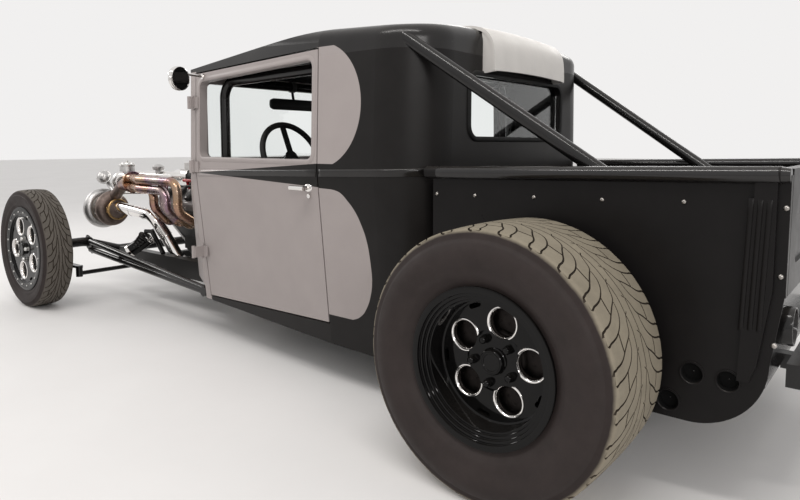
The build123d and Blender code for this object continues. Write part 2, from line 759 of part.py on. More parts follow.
# Tie rod with an eye below each steering arm
TIE_EYE_R = 18.0
tie_x = FRONT_AXLE_X - ARM_BACK
tie_bar = bar((tie_x, -KINGPIN_Y, TIE_ROD_Z), (tie_x, KINGPIN_Y, TIE_ROD_Z), TIE_ROD_R)
with BuildPart() as tie_rod:
    add(tie_bar)
    with BuildSketch(Plane.XY.offset(TIE_ROD_Z - TIE_EYE_R)):
        with Locations((tie_x, -KINGPIN_Y), (tie_x, KINGPIN_Y)):
            Circle(TIE_EYE_R)
    extrude(amount=ARM_Z - 0.5 - TIE_ROD_Z + TIE_EYE_R)
tie_rod.part.label = "tie_rod"
export_step(tie_rod.part, "parts/tie_rod.step")

# Radius rods: two tubes a side, a plate at the axle and a bush on the frame bracket
ROD_Y = 520.0
ROD_R = 16.0
ROD_SPREAD = 24.0
ROD_DROP = 22.0
ROD_REAR = fore(1800)
ROD_REAR_Z = 210.0
ROD_FRONT = FRONT_AXLE_X - AXLE_R - 26.0
axle_z_at_rod = front_axle_z
BUSH_R = 24.0
COIL_TAB_X = fore(2627)
COIL_FOOT_Z = 274.0
COIL_TAB_Y = 460.0
rod_parts = []
for spread in (-ROD_SPREAD, ROD_SPREAD):
    rod_parts.append(
        bar(
            (ROD_REAR, ROD_Y, ROD_REAR_Z + spread / 4),
            (ROD_FRONT + 12, ROD_Y, axle_z_at_rod - ROD_DROP + spread),
            ROD_R,
        )
    )
bush = Pos(ROD_REAR, ROD_Y, ROD_REAR_Z) * Rot(90, 0, 0) * Cylinder(BUSH_R, 44)
bracket_arm = bar(
    (ROD_REAR, RAIL_Y + RAIL_W / 2, ROD_REAR_Z), (ROD_REAR, ROD_Y - 10, ROD_REAR_Z), 12
)
with BuildPart() as radius_rods:
    for piece in rod_parts:
        add(piece)
    add(bush)
    add(bracket_arm)
    add(
        box_between(
            (COIL_TAB_X - 18, COIL_TAB_Y, COIL_FOOT_Z - 10), (COIL_TAB_X + 18, ROD_Y + 12, COIL_FOOT_Z)
        )
    )
    add(
        box_between(
            (COIL_TAB_X - 18, ROD_Y - 6, COIL_FOOT_Z - 30), (COIL_TAB_X + 18, ROD_Y + 6, COIL_FOOT_Z + 22)
        )
    )
    with BuildSketch(Plane.XZ.offset(-ROD_Y - 5)):
        with BuildLine():
            Polyline(
                (ROD_FRONT - 6, axle_z_at_rod - ROD_DROP + ROD_SPREAD + 22),
                (FRONT_AXLE_X, axle_z_at_rod + AXLE_R + 12),
                (FRONT_AXLE_X + AXLE_R + 10, axle_z_at_rod),
                (FRONT_AXLE_X, axle_z_at_rod - AXLE_R - 12),
                (ROD_FRONT - 6, axle_z_at_rod - ROD_DROP - ROD_SPREAD - 22),
                close=True,
            )
        make_face()
    extrude(amount=10)
    add(axle_tube, mode=Mode.SUBTRACT)
    mirror(about=Plane.XZ)
radius_rods.part.label = "radius_rods"
export_step(radius_rods.part, "parts/radius_rods.step")


def coilover(low, high, body_r, coil_r):
    """Damper with a coil spring, its coils as rings round the body."""
    line = Vector(*high) - Vector(*low)
    length = line.length
    across = Plane(origin=low, z_dir=line)
    with BuildPart() as unit:
        with BuildSketch(across):
            Circle(body_r * 0.55)
        extrude(amount=length)
        with BuildSketch(across.offset(length * 0.12)):
            Circle(body_r)
        extrude(amount=length * 0.3)
        for share in (0.16, 0.86):
            with BuildSketch(across.offset(length * share)):
                Circle(coil_r + 4)
            extrude(amount=6)
        for turn in range(6):
            with BuildSketch(across.offset(length * (0.22 + 0.105 * turn))):
                Circle(coil_r)
                Circle(body_r * 0.5, mode=Mode.SUBTRACT)
            extrude(amount=length * 0.05)
    return unit.part


# Front coil-overs between the radius rods and towers on the frame
TOWER_TOP_Z = 436.0
COIL_X = COIL_TAB_X
COIL_LEAN = 116.0
COIL_LOW_Y = 476.0
COIL_HIGH_Y = 432.0
coil_low = (COIL_X, COIL_LOW_Y, COIL_FOOT_Z + 8)
coil_high = (COIL_X - COIL_LEAN, COIL_HIGH_Y, TOWER_TOP_Z - 20)
front_coil = coilover(coil_low, coil_high, 22.0, 27.0)
tower = bar(
    (COIL_X - COIL_LEAN - 34, RAIL_Y, RAIL_BOTTOM + RAIL_H + 0.1),
    (COIL_X - COIL_LEAN - 26, COIL_HIGH_Y - 18, TOWER_TOP_Z),
    13,
)
tower_arm = bar(
    (COIL_X - COIL_LEAN - 26, COIL_HIGH_Y - 18, TOWER_TOP_Z - 8),
    (COIL_X - COIL_LEAN + 8, COIL_HIGH_Y + 2, TOWER_TOP_Z - 8),
    11,
)
with BuildPart() as front_coilovers:
    add(front_coil)
    add(tower)
    add(tower_arm)
    split(bisect_by=Plane.XY.offset(RAIL_BOTTOM + RAIL_H), keep=Keep.TOP)
    mirror(about=Plane.XZ)
front_coilovers.part.label = "front_coilovers"
export_step(front_coilovers.part, "parts/front_coilovers.step")

# Rear axle housing with its differential
rear_axle_z = REAR_TYRE_R
AXLE_TUBE_R = 38.0
HOUSING_END = 664.0
DIFF_R = 118.0
with BuildPart() as rear_axle:
    with BuildSketch(Plane.YZ.offset(REAR_AXLE_X)):
        with BuildLine():
            Polyline(
                (0, rear_axle_z + DIFF_R),
                (0, rear_axle_z),
                (HOUSING_END, rear_axle_z),
                (HOUSING_END, rear_axle_z + 58),
                (HOUSING_END - 14, rear_axle_z + 58),
                (HOUSING_END - 14, rear_axle_z + AXLE_TUBE_R),
                (165, rear_axle_z + AXLE_TUBE_R),
                (95, rear_axle_z + 78),
            )
            ThreePointArc(
                (95, rear_axle_z + 78), (55, rear_axle_z + 107), (0, rear_axle_z + DIFF_R)
            )
        make_face()
    revolve(axis=Axis((REAR_AXLE_X, 0, rear_axle_z), (0, 1, 0)))
    mirror(about=Plane.XZ)
    with BuildSketch(Plane.YZ.offset(REAR_AXLE_X + DIFF_R * 0.6)):
        with Locations((0, rear_axle_z)):
            Circle(62)
    extrude(amount=130, taper=8)
rear_axle.part.label = "rear_axle"
export_step(rear_axle.part, "parts/rear_axle.step")

# Rear suspension: a ladder bar and a coil-over on each side
LADDER_Y = 455.0
LADDER_R = 14.0
LADDER_FRONT = fore(800)
LADDER_FRONT_Z = 222.0
LADDER_SPREAD = 82.0
ladder_parts = []
for spread in (-LADDER_SPREAD, LADDER_SPREAD):
    ladder_parts.append(
        bar(
            (REAR_AXLE_X + 22, LADDER_Y, rear_axle_z + spread),
            (LADDER_FRONT, LADDER_Y, LADDER_FRONT_Z + spread / 12),
            LADDER_R,
        )
    )
ladder_parts.append(Pos(LADDER_FRONT, LADDER_Y, LADDER_FRONT_Z) * Rot(90, 0, 0) * Cylinder(24, 40))
ladder_parts.append(
    bar((LADDER_FRONT, RAIL_Y + RAIL_W / 2, LADDER_FRONT_Z), (LADDER_FRONT, LADDER_Y - 10, LADDER_FRONT_Z), 16)
)
rear_coil_low = (REAR_AXLE_X - 70, LADDER_Y, rear_axle_z - 60)
rear_coil_high = (REAR_AXLE_X - 95, LADDER_Y - 20, BED_FLOOR_Z - BED_FLOOR_T - 3)
rear_coil = coilover(rear_coil_low, rear_coil_high, 22.0, 32.0)
with BuildPart() as rear_suspension:
    for piece in ladder_parts:
        add(piece)
    with BuildSketch(Plane.XZ.offset(-LADDER_Y - 6)):
        with BuildLine():
            Polyline(
                (REAR_AXLE_X + 55, rear_axle_z + LADDER_SPREAD + 24),
                (REAR_AXLE_X - 40, rear_axle_z + LADDER_SPREAD + 24),
                (REAR_AXLE_X - 96, rear_axle_z - 40),
                (REAR_AXLE_X - 96, rear_axle_z - LADDER_SPREAD - 10),
                (REAR_AXLE_X + 55, rear_axle_z - LADDER_SPREAD - 24),
                close=True,
            )
        make_face()
    extrude(amount=12)
    add(rear_coil)
    with Locations((REAR_AXLE_X, LADDER_Y, rear_axle_z)):
        Cylinder(AXLE_TUBE_R + SEAT_GAP, 60, rotation=(90, 0, 0), mode=Mode.SUBTRACT)
    mirror(about=Plane.XZ)
rear_suspension.part.label = "rear_suspension"
export_step(rear_suspension.part, "parts/rear_suspension.step")

# Gearbox and driveshaft
BELL_R = 176.0
GEARBOX_TAIL = fore(1350)
GEARBOX_TAIL_Z = 318.0
SHAFT_R = 38.0
PINION_X = REAR_AXLE_X + DIFF_R * 0.6 + 130
shaft_slope = (rear_axle_z - GEARBOX_TAIL_Z) / (GEARBOX_TAIL - PINION_X)
shaft_rear = (PINION_X + SEAT_GAP + SHAFT_R * shaft_slope, 0, rear_axle_z)
shaft = bar(shaft_rear, (GEARBOX_TAIL + 10, 0, GEARBOX_TAIL_Z), SHAFT_R)
with BuildPart() as driveline:
    with BuildSketch(Plane.YZ.offset(ENGINE_REAR - SEAT_GAP)):
        with Locations((0, CRANK_Z)):
            Circle(BELL_R)
    with BuildSketch(Plane.YZ.offset(ENGINE_REAR - 170)):
        with Locations((0, CRANK_Z)):
            Circle(118)
    loft()
    with BuildSketch(Plane.YZ.offset(ENGINE_REAR - 170)):
        with Locations((0, CRANK_Z)):
            Circle(118)
    with BuildSketch(Plane.YZ.offset(GEARBOX_TAIL)):
        with Locations((0, GEARBOX_TAIL_Z)):
            Circle(60)
    loft()
    add(shaft)
driveline.part.label = "driveline"
export_step(driveline.part, "parts/driveline.step")

# Engine block, heads and sump in one casting group
bank_turn = {1: -BANK_ANGLE, -1: BANK_ANGLE}
bank_blocks = []
head_blocks = []
cover_blocks = []
COVER_H = 62.0
COVER_W = 118.0
head_gap = 24.0
engine_length = ENGINE_FRONT - ENGINE_REAR
engine_middle = (ENGINE_FRONT + ENGINE_REAR) / 2
for sign in (1, -1):
    place = Pos(engine_middle, 0, CRANK_Z) * Rot(-sign * BANK_ANGLE, 0, 0)
    bank_blocks.append(place * Pos(0, 0, DECK / 2) * Box(engine_length - 60, HEAD_W, DECK))
    head_blocks.append(place * Pos(0, 0, DECK + HEAD_H / 2) * Box(engine_length - 70, HEAD_W, HEAD_H))
    cover = place * Pos(0, 0, DECK + HEAD_H + SEAT_GAP + COVER_H / 2)
    with BuildPart() as rocker_cover:
        with BuildSketch():
            RectangleRounded(engine_length - 96, COVER_W, 24)
        extrude(amount=COVER_H)
        fillet(rocker_cover.faces().sort_by(Axis.Z)[-1].edges(), 16)
    cover_blocks.append(place * Pos(0, 0, DECK + HEAD_H + SEAT_GAP) * rocker_cover.part)
with BuildPart() as engine_block:
    add(
        box_between(
            (ENGINE_REAR, -BLOCK_HALF_W, CRANK_Z - 60), (ENGINE_FRONT - 20, BLOCK_HALF_W, CRANK_Z + 120)
        )
    )
    for piece in bank_blocks + head_blocks:
        add(piece)
    with BuildSketch(Plane.XY.offset(PAN_BOTTOM)):
        with Locations((engine_middle - 60, 0)):
            RectangleRounded(engine_length - 200, 190, 20)
    with BuildSketch(Plane.XY.offset(CRANK_Z - 60)):
        with Locations((engine_middle - 10, 0)):
            RectangleRounded(engine_length - 20, 2 * BLOCK_HALF_W, 20)
    loft()
    with BuildSketch(Plane.YZ.offset(ENGINE_FRONT - 20)):
        with Locations((0, CRANK_Z)):
            Circle(82)
    extrude(amount=26)
engine_block.part.label = "engine_block"
export_step(engine_block.part, "parts/engine_block.step")
with BuildPart() as valve_covers:
    for piece in cover_blocks:
        add(piece)
valve_covers.part.label = "valve_covers"
export_step(valve_covers.part, "parts/valve_covers.step")

# Pulleys and belt at the engine's front
PULLEYS = (
    dict(y=0.0, z=CRANK_Z, r=84.0),
    dict(y=0.0, z=CRANK_Z + 172.0, r=66.0),
    dict(y=-150.0, z=CRANK_Z + 120.0, r=44.0),
    dict(y=150.0, z=CRANK_Z + 130.0, r=44.0),
)
BELT_X = ENGINE_FRONT + 6.0 + SEAT_GAP
with BuildPart() as front_drive:
    with BuildSketch(Plane.YZ.offset(BELT_X)):
        for row in PULLEYS:
            with Locations((row["y"], row["z"])):
                Circle(row["r"])
        make_hull()
    extrude(amount=26)
    with BuildSketch(Plane.YZ.offset(BELT_X + 26)):
        for row in PULLEYS:
            with Locations((row["y"], row["z"])):
                Circle(row["r"] * 0.5)
    extrude(amount=12)
front_drive.part.label = "front_drive"
export_step(front_drive.part, "parts/front_drive.step")

# Intake manifold with plenum and throttle body
PLENUM_Z = 655.0
PLENUM_H = 110.0
PLENUM_HALF_W = 96.0
with BuildPart() as intake_manifold:
    with BuildSketch(Plane.XY.offset(CRANK_Z + 250)):
        with Locations((engine_middle, 0)):
            RectangleRounded(engine_length - 110, 118, 20)
    with BuildSketch(Plane.XY.offset(PLENUM_Z)):
        with Locations((engine_middle, 0)):
            RectangleRounded(engine_length - 90, 2 * PLENUM_HALF_W, 24)
    loft()
    with BuildSketch(Plane.XY.offset(PLENUM_Z)):
        with Locations((engine_middle, 0)):
            RectangleRounded(engine_length - 90, 2 * PLENUM_HALF_W, 24)
    extrude(amount=PLENUM_H)
    fillet(intake_manifold.faces().sort_by(Axis.Z)[-1].edges(), 22)
    with BuildSketch(Plane.YZ.offset(ENGINE_FRONT - 60)):
        with Locations((0, PLENUM_Z + PLENUM_H / 2)):
            Circle(46)
    extrude(amount=120)
intake_manifold.part.label = "intake_manifold"
export_step(intake_manifold.part, "parts/intake_manifold.step")

# Headers: four primaries a side rise from the ports and run forward into a collector
PAIRS = (
    dict(out=440.0, dy=25.0, dz=25.0, turn=fore(2560)),
    dict(out=440.0, dy=25.0, dz=-25.0, turn=fore(2560)),
    dict(out=388.0, dy=-25.0, dz=25.0, turn=fore(2580)),
    dict(out=388.0, dy=-25.0, dz=-25.0, turn=fore(2580)),
)
RISE_Z = 560.0
COLLECTOR_LEAD = 110.0
PRIMARY_BENDS = (34, 60, 60, 60, 60)
bank_up = Vector(0, sin(radians(BANK_ANGLE)), cos(radians(BANK_ANGLE)))
bank_out = Vector(0, cos(radians(BANK_ANGLE)), -sin(radians(BANK_ANGLE)))
port = Vector(0, 0, CRANK_Z) + bank_up * (DECK + HEAD_H / 2) + bank_out * (HEAD_W / 2 + SEAT_GAP)
port_end = port + bank_out * PORT_RUN
primaries = []
for number, row in enumerate(PAIRS):
    x = PORT_FIRST + number * BORE_PITCH
    y_end = COLLECTOR_Y + row["dy"]
    z_end = COLLECTOR_Z + row["dz"]
    primaries.append(
        bent_tube(
            [
                (x, port.Y, port.Z),
                (x, port_end.Y, port_end.Z),
                (x, row["out"], RISE_Z),
                (x, row["out"], z_end),
                (row["turn"], row["out"], z_end),
                (COLLECTOR_X - COLLECTOR_LEAD, y_end, z_end),
                (COLLECTOR_X - 30, y_end, z_end),
            ],
            PRIMARY_R,
            PRIMARY_BENDS,
        )
    )
COLLECTOR_LEN = 128.0
COLLECTOR_FALL = 26.0
COLLECTOR_R = 62.0
INLET_R = 33.0
collector_end = Vector(COLLECTOR_X + COLLECTOR_LEN / 2, COLLECTOR_Y, COLLECTOR_Z - COLLECTOR_FALL)
turbine_top = Vector(TURBINE_X, TURBO_Y, TURBO_Z + 60)
inlet_line = (turbine_top - collector_end).normalized()
with BuildPart() as headers:
    for piece in primaries:
        add(piece)
    with BuildSketch(Plane.YZ.offset(COLLECTOR_X - COLLECTOR_LEN / 2)):
        with Locations((COLLECTOR_Y, COLLECTOR_Z)):
            Circle(COLLECTOR_R)
    with BuildSketch(Plane(origin=collector_end, z_dir=inlet_line)):
        Circle(INLET_R)
    loft()
    mirror(about=Plane.XZ)
headers.part.label = "headers"
export_step(headers.part, "parts/headers.step")

# Turbochargers: exhaust scroll behind, compressor scroll in front, on one shaft along the car
TURBINE_SCROLL_R = 74.0
TURBINE_TUBE_R = 40.0
TURBINE_BOSS = 62.0
COMPRESSOR_SCROLL_R = 92.0
COMPRESSOR_TUBE_R = 42.0
SCROLL_SWEEP = 320.0
SCROLL_STEPS = 8
SCROLL_START = 0.62


def scroll(x, ring_r, tube_r, end_angle, way):
    """Volute about the turbo's shaft: round sections that grow on the way to its mouth."""
    sections = []
    for step in range(SCROLL_STEPS + 1):
        share = step / SCROLL_STEPS
        angle = radians(end_angle - way * SCROLL_SWEEP * (1 - share))
        middle = (x, TURBO_Y + ring_r * cos(angle), TURBO_Z + ring_r * sin(angle))
        along = (0, -sin(angle), cos(angle))
        ring = Plane(origin=middle, x_dir=(1, 0, 0), z_dir=along)
        radius = tube_r * (SCROLL_START + (1 - SCROLL_START) * share)
        sections.append((ring * Circle(radius)).face())
    return loft(sections) + Pos(*middle) * Sphere(tube_r)


turbine_scroll = scroll(TURBINE_X, TURBINE_SCROLL_R, TURBINE_TUBE_R, 90, 1)
compressor_scroll = scroll(COMPRESSOR_X, COMPRESSOR_SCROLL_R, COMPRESSOR_TUBE_R, 180, -1)
inlet = bar(tuple(collector_end + inlet_line * SEAT_GAP), tuple(turbine_top), INLET_R)
with BuildPart() as turbo_turbines:
    add(turbine_scroll)
    with BuildSketch(Plane.YZ.offset(TURBINE_X - TURBINE_BOSS)):
        with Locations((TURBO_Y, TURBO_Z)):
            Circle(58)
    extrude(amount=TURBINE_BOSS + TURBINE_TUBE_R)
    add(inlet)
    mirror(about=Plane.XZ)
turbo_turbines.part.label = "turbo_turbines"
export_step(turbo_turbines.part, "parts/turbo_turbines.step")
with BuildPart() as turbo_compressors:
    add(compressor_scroll)
    with BuildSketch(Plane.YZ.offset(TURBINE_X + TURBINE_TUBE_R + SEAT_GAP)):
        with Locations((TURBO_Y, TURBO_Z)):
            Circle(54)
    extrude(amount=COMPRESSOR_X - TURBINE_X)
    with BuildSketch(Plane.YZ.offset(COMPRESSOR_X - 30)):
        with Locations((TURBO_Y, TURBO_Z)):
            Circle(COMPRESSOR_SCROLL_R - 14)
    extrude(amount=54)
    with BuildSketch(Plane.YZ.offset(COMPRESSOR_X + 20)):
        with Locations((TURBO_Y, TURBO_Z)):
            Circle(62)
            Circle(50, mode=Mode.SUBTRACT)
    extrude(amount=52)
    mirror(about=Plane.XZ)
turbo_compressors.part.label = "turbo_compressors"
export_step(turbo_compressors.part, "parts/turbo_compressors.step")

# Downpipes: straight back from the turbine, then down and under the cab
EXHAUST_Y = 250.0
EXHAUST_Z = 240.0
DOWNPIPE_RISE = 15.0
DOWNPIPE_LEAN = 2.1
outlet_x = TURBINE_X - TURBINE_BOSS - SEAT_GAP - DOWNPIPE_LEAN
pipe = bent_tube(
    [
        (outlet_x, TURBO_Y, TURBO_Z + DOWNPIPE_RISE),
        (fore(2585), TURBO_Y, TURBO_Z - 10),
        (fore(2548), 292, 385),
        (fore(2470), EXHAUST_Y, EXHAUST_Z),
        (fore(1640), EXHAUST_Y, EXHAUST_Z),
    ],
    DOWNPIPE_R,
    62,
)
with BuildPart() as downpipes:
    add(pipe)
    mirror(about=Plane.XZ)
downpipes.part.label = "downpipes"
export_step(downpipes.part, "parts/downpipes.step")

# Charge pipes from each compressor's outlet up and in to the throttle body
throttle_x = ENGINE_FRONT + 60
charge = bent_tube(
    [
        (COMPRESSOR_X, TURBO_Y - COMPRESSOR_SCROLL_R, TURBO_Z + 20),
        (COMPRESSOR_X, TURBO_Y - COMPRESSOR_SCROLL_R, PLENUM_Z + PLENUM_H / 2),
        (COMPRESSOR_X - 90, 120, PLENUM_Z + PLENUM_H / 2 + 4),
        (throttle_x + 110, 60, PLENUM_Z + PLENUM_H / 2),
        (throttle_x + 20, 0, PLENUM_Z + PLENUM_H / 2),
    ],
    30,
    38,
)
with BuildPart() as charge_pipes:
    add(charge)
    mirror(about=Plane.XZ)
    with BuildSketch(Plane.YZ.offset(throttle_x + SEAT_GAP)):
        with Locations((0, PLENUM_Z + PLENUM_H / 2)):
            Circle(52)
    extrude(amount=70)
    add(turbo_compressors.part, mode=Mode.SUBTRACT)
charge_pipes.part.label = "charge_pipes"
export_step(charge_pipes.part, "parts/charge_pipes.step")

# Wastegates stand on the collectors
with BuildPart() as wastegates:
    with BuildSketch(Plane.XY.offset(COLLECTOR_Z + 20)):
        with Locations((COLLECTOR_X, COLLECTOR_Y)):
            Circle(20)
    extrude(amount=70)
    with BuildSketch(Plane.XY.offset(COLLECTOR_Z + 62)):
        with Locations((COLLECTOR_X, COLLECTOR_Y)):
            Circle(42)
    extrude(amount=46)
    fillet(wastegates.faces().sort_by(Axis.Z)[-1].edges(), 12)
    add(headers.part, mode=Mode.SUBTRACT)
    mirror(about=Plane.XZ)
wastegates.part.label = "wastegates"
export_step(wastegates.part, "parts/wastegates.step")


TAILGATE_BOTTOM = BED_FLOOR_Z - BED_FLOOR_T

# Load bed: sides with a rolled top rail, cut away over the axle and round below at the tail
def bed_top(x):
    """Height of the bed's top edge at a station."""
    return BED_TOP_REAR + (BED_TOP_FRONT - BED_TOP_REAR) * (x - BED_REAR) / (BED_FRONT - BED_REAR)


SIDE_HOLES = ((fore(-407), 341.0, 26.0), (fore(-489), 339.0, 25.0), (fore(-353), 258.0, 26.0))
RAIL_REACH = 22.0
SIDE_CUT_LOW = 215.0
SIDE_CUT_HIGH = 150.0
rail_left = bar(
    (BED_REAR + BED_RAIL_R, BED_HALF_W + 2, bed_top(BED_REAR) - BED_RAIL_R),
    (BED_FRONT + RAIL_REACH, BED_HALF_W + 2, bed_top(BED_FRONT + RAIL_REACH) - BED_RAIL_R),
    BED_RAIL_R,
)
post_inner = BED_HALF_W - BED_POST_IN
tuck_x = BED_REAR + BED_TUCK
tuck_z = BED_SIDE_BOTTOM + BED_CORNER_R
strip_corners = (
    (fore(-575), bed_top(BED_REAR) - BED_RAIL_R),
    (fore(-530), bed_top(BED_REAR) - BED_RAIL_R),
    (fore(-524), 656.0),
    (fore(-516), 516.0),
    (fore(-510), 350.0),
    (fore(-535), 350.0),
    (fore(-550), tuck_z),
    (fore(-575), BED_FLOOR_Z),
)
with BuildPart() as bed_sides:
    with BuildSketch(Plane.XZ.offset(-BED_HALF_W)):
        with BuildLine() as side_line:
            Polyline(
                (tuck_x + BED_CORNER_R, BED_SIDE_BOTTOM),
                (REAR_AXLE_X - SIDE_CUT_LOW, BED_SIDE_BOTTOM),
                (REAR_AXLE_X - SIDE_CUT_HIGH, BED_SIDE_STEP),
                (BED_FRONT, BED_SIDE_STEP),
                (BED_FRONT, bed_top(BED_FRONT) - BED_RAIL_R),
                (BED_REAR, bed_top(BED_REAR) - BED_RAIL_R),
                (BED_REAR, BED_FLOOR_Z),
                (tuck_x, tuck_z),
            )
            RadiusArc(
                (tuck_x, tuck_z),
                (tuck_x + BED_CORNER_R, BED_SIDE_BOTTOM),
                -BED_CORNER_R,
            )
        make_face()
        for x, z, r in SIDE_HOLES:
            with Locations((x, z)):
                Circle(r, mode=Mode.SUBTRACT)
    extrude(amount=BED_T)
    with BuildSketch(Plane.XZ.offset(-BED_HALF_W - BED_STRIP_T)):
        with BuildLine():
            Polyline(*strip_corners, close=True)
        make_face()
    extrude(amount=BED_STRIP_T + BED_T / 2)
    add(rail_left)
    add(
        box_between(
            (BED_REAR, post_inner, BED_FLOOR_Z - BED_FLOOR_T),
            (BED_REAR + TAILGATE_T, BED_HALF_W - BED_T / 2, bed_top(BED_REAR) - BED_RAIL_R),
        )
    )
    with Locations((BED_REAR + TAILGATE_PIN_IN, post_inner, TAILGATE_BOTTOM + TAILGATE_PIN_IN)):
        Cylinder(TAILGATE_PIN_R + 0.05, 2 * TAILGATE_PIN_L, rotation=(90, 0, 0), mode=Mode.SUBTRACT)
    mirror(about=Plane.XZ)
bed_sides.part.label = "bed_sides"
export_step(bed_sides.part, "parts/bed_sides.step")

# Bed floor with the wall at its front
inner_half_w = BED_HALF_W - BED_T - SEAT_GAP
TIE_DOWN_X = 560.0
TIE_DOWN_Y = 760.0
TIE_DOWN_R = 5.5
PRESSING_RISE = 3.0
PRESSING_HALF_W = 396.0
PRESSING_MARGIN = 30.0
bed_margin_z = BED_FLOOR_Z - PRESSING_RISE
bed_floor_rear = BED_REAR + TAILGATE_T + 2 * RUN_GAP
bed_middle = (BED_FRONT + BED_REAR) / 2
with BuildPart() as bed_floor:
    add(
        box_between(
            (bed_floor_rear, -inner_half_w, BED_FLOOR_Z - BED_FLOOR_T),
            (BED_FRONT, inner_half_w, bed_margin_z),
        )
    )
    add(
        box_between(
            (bed_floor_rear + PRESSING_MARGIN, -PRESSING_HALF_W, bed_margin_z),
            (BED_FRONT - BED_FLOOR_T - PRESSING_MARGIN, PRESSING_HALF_W, BED_FLOOR_Z),
        )
    )
    add(
        box_between(
            (BED_FRONT - BED_FLOOR_T, -inner_half_w, bed_margin_z),
            (BED_FRONT, inner_half_w, BED_TOP_FRONT - 2 * BED_RAIL_R),
        )
    )
    with Locations((bed_middle, 0, BED_FLOOR_Z)):
        with GridLocations(TIE_DOWN_X, TIE_DOWN_Y, 2, 2):
            Hole(TIE_DOWN_R, BED_FLOOR_T)
bed_floor.part.label = "bed_floor"
export_step(bed_floor.part, "parts/bed_floor.step")

# Tailgate, hinged on a pin at each end of its foot
TAILGATE_HALF_W = post_inner - RUN_GAP
tailgate_top = bed_top(BED_REAR) - 6.0
pin_reach = post_inner + TAILGATE_PIN_L - 2.0
with BuildPart() as tailgate:
    with Locations((BED_REAR + TAILGATE_PIN_IN, 0, TAILGATE_BOTTOM + TAILGATE_PIN_IN)):
        Cylinder(TAILGATE_PIN_R, 2 * pin_reach, rotation=(90, 0, 0))
    with BuildSketch(Plane.YZ.offset(BED_REAR)):
        with Locations((0, (TAILGATE_BOTTOM + tailgate_top) / 2)):
            Rectangle(2 * TAILGATE_HALF_W, tailgate_top - TAILGATE_BOTTOM)
    extrude(amount=TAILGATE_T)
    with BuildSketch(Plane.YZ.offset(BED_REAR - 1)):
        with Locations((0, (TAILGATE_BOTTOM + tailgate_top) / 2)):
            RectangleRounded(1.7 * TAILGATE_HALF_W, (tailgate_top - TAILGATE_BOTTOM) * 0.56, 20)
    extrude(amount=9, mode=Mode.SUBTRACT)
tailgate.part.label = "tailgate"
export_step(tailgate.part, "parts/tailgate.step")

# Tail panel, bumper tube and lamps
LAMP_Y = 470.0
LAMP_Z = 470.0
LAMP_R = 42.0
BUMPER_Z = 335.0
BUMPER_TUBE = 60.0
PANEL_T = 8.0
with BuildPart() as tail_panel:
    add(
        box_between(
            (RAIL_REAR - PANEL_T - SEAT_GAP, -inner_half_w, BED_SIDE_BOTTOM + BED_CORNER_R * 0.7),
            (RAIL_REAR - SEAT_GAP, inner_half_w, TAILGATE_BOTTOM - 12),
        )
    )
    add(
        box_between(
            (TAIL_X, -440, BUMPER_Z - BUMPER_TUBE / 2), (TAIL_X + BUMPER_TUBE, 440, BUMPER_Z + BUMPER_TUBE / 2)
        )
    )
    for y in (-300, 300):
        add(
            box_between(
                (TAIL_X + BUMPER_TUBE / 2, y - 20, BUMPER_Z - 20), (RAIL_REAR - 1, y + 20, BUMPER_Z + 20)
            )
        )
tail_panel.part.label = "tail_panel"
export_step(tail_panel.part, "parts/tail_panel.step")
with BuildPart() as tail_lamps:
    with BuildSketch(Plane.YZ.offset(RAIL_REAR - PANEL_T - 2 * SEAT_GAP)):
        with Locations((LAMP_Y, LAMP_Z), (-LAMP_Y, LAMP_Z)):
            Circle(LAMP_R)
    extrude(amount=-24)
tail_lamps.part.label = "tail_lamps"
export_step(tail_lamps.part, "parts/tail_lamps.step")

# Diagonal struts from the roof's rear corners down into the bed
STRUT_R = 22.0
STRUT_FOOT_X = fore(-505)
STRUT_FOOT_Y = BED_HALF_W - 137.0
STRUT_TOP_X = fore(521)
STRUT_TOP_IN = 44.0
STRUT_TOP_Z = 1272.0
strut_top = (STRUT_TOP_X, half_width_at("drip", STRUT_TOP_X) - STRUT_TOP_IN, STRUT_TOP_Z)
STRUT_PAD_R = 48.0
STRUT_PAD_T = 10.0
pad_z = bed_margin_z + SEAT_GAP
strut = bar((STRUT_FOOT_X, STRUT_FOOT_Y, pad_z + STRUT_PAD_T), strut_top, STRUT_R)
strut_pad = Pos(STRUT_FOOT_X, STRUT_FOOT_Y, pad_z + STRUT_PAD_T / 2) * Cylinder(STRUT_PAD_R, STRUT_PAD_T)
with BuildPart() as roof_struts:
    add(strut)
    split(bisect_by=Plane.XY.offset(pad_z), keep=Keep.TOP)
    add(strut_pad)
    add(cab_block, mode=Mode.SUBTRACT)
    add(roof.part, mode=Mode.SUBTRACT)
    mirror(about=Plane.XZ)
roof_struts.part.label = "roof_struts"
export_step(roof_struts.part, "parts/roof_struts.step")

# Roll cage inside the cab
CAGE_R = 22.0
CAGE_REAR = fore(590)
CAGE_FRONT = fore(1660)
CAGE_Y = 520.0
CAGE_TOP = 1222.0
cage_floor = FLOOR_Z + FLOOR_T + SEAT_GAP
hoop = bent_tube(
    [
        (CAGE_REAR + 160, -CAGE_Y, cage_floor),
        (CAGE_REAR + 160, -CAGE_Y, CAGE_TOP),
        (CAGE_REAR + 160, CAGE_Y, CAGE_TOP),
        (CAGE_REAR + 160, CAGE_Y, cage_floor),
    ],
    CAGE_R,
    90,
)
side_bar = bent_tube(
    [
        (CAGE_REAR + 160, CAGE_Y - 20, CAGE_TOP - 6),
        (CAGE_FRONT, CAGE_Y - 30, CAGE_TOP - 26),
        (CAGE_FRONT, CAGE_Y - 30, cage_floor),
    ],
    CAGE_R,
    80,
)
header_end = (CAGE_FRONT - 40, CAGE_Y - 30, CAGE_TOP - 26)
header_bar = bar((header_end[0], -header_end[1], header_end[2]), header_end, CAGE_R)
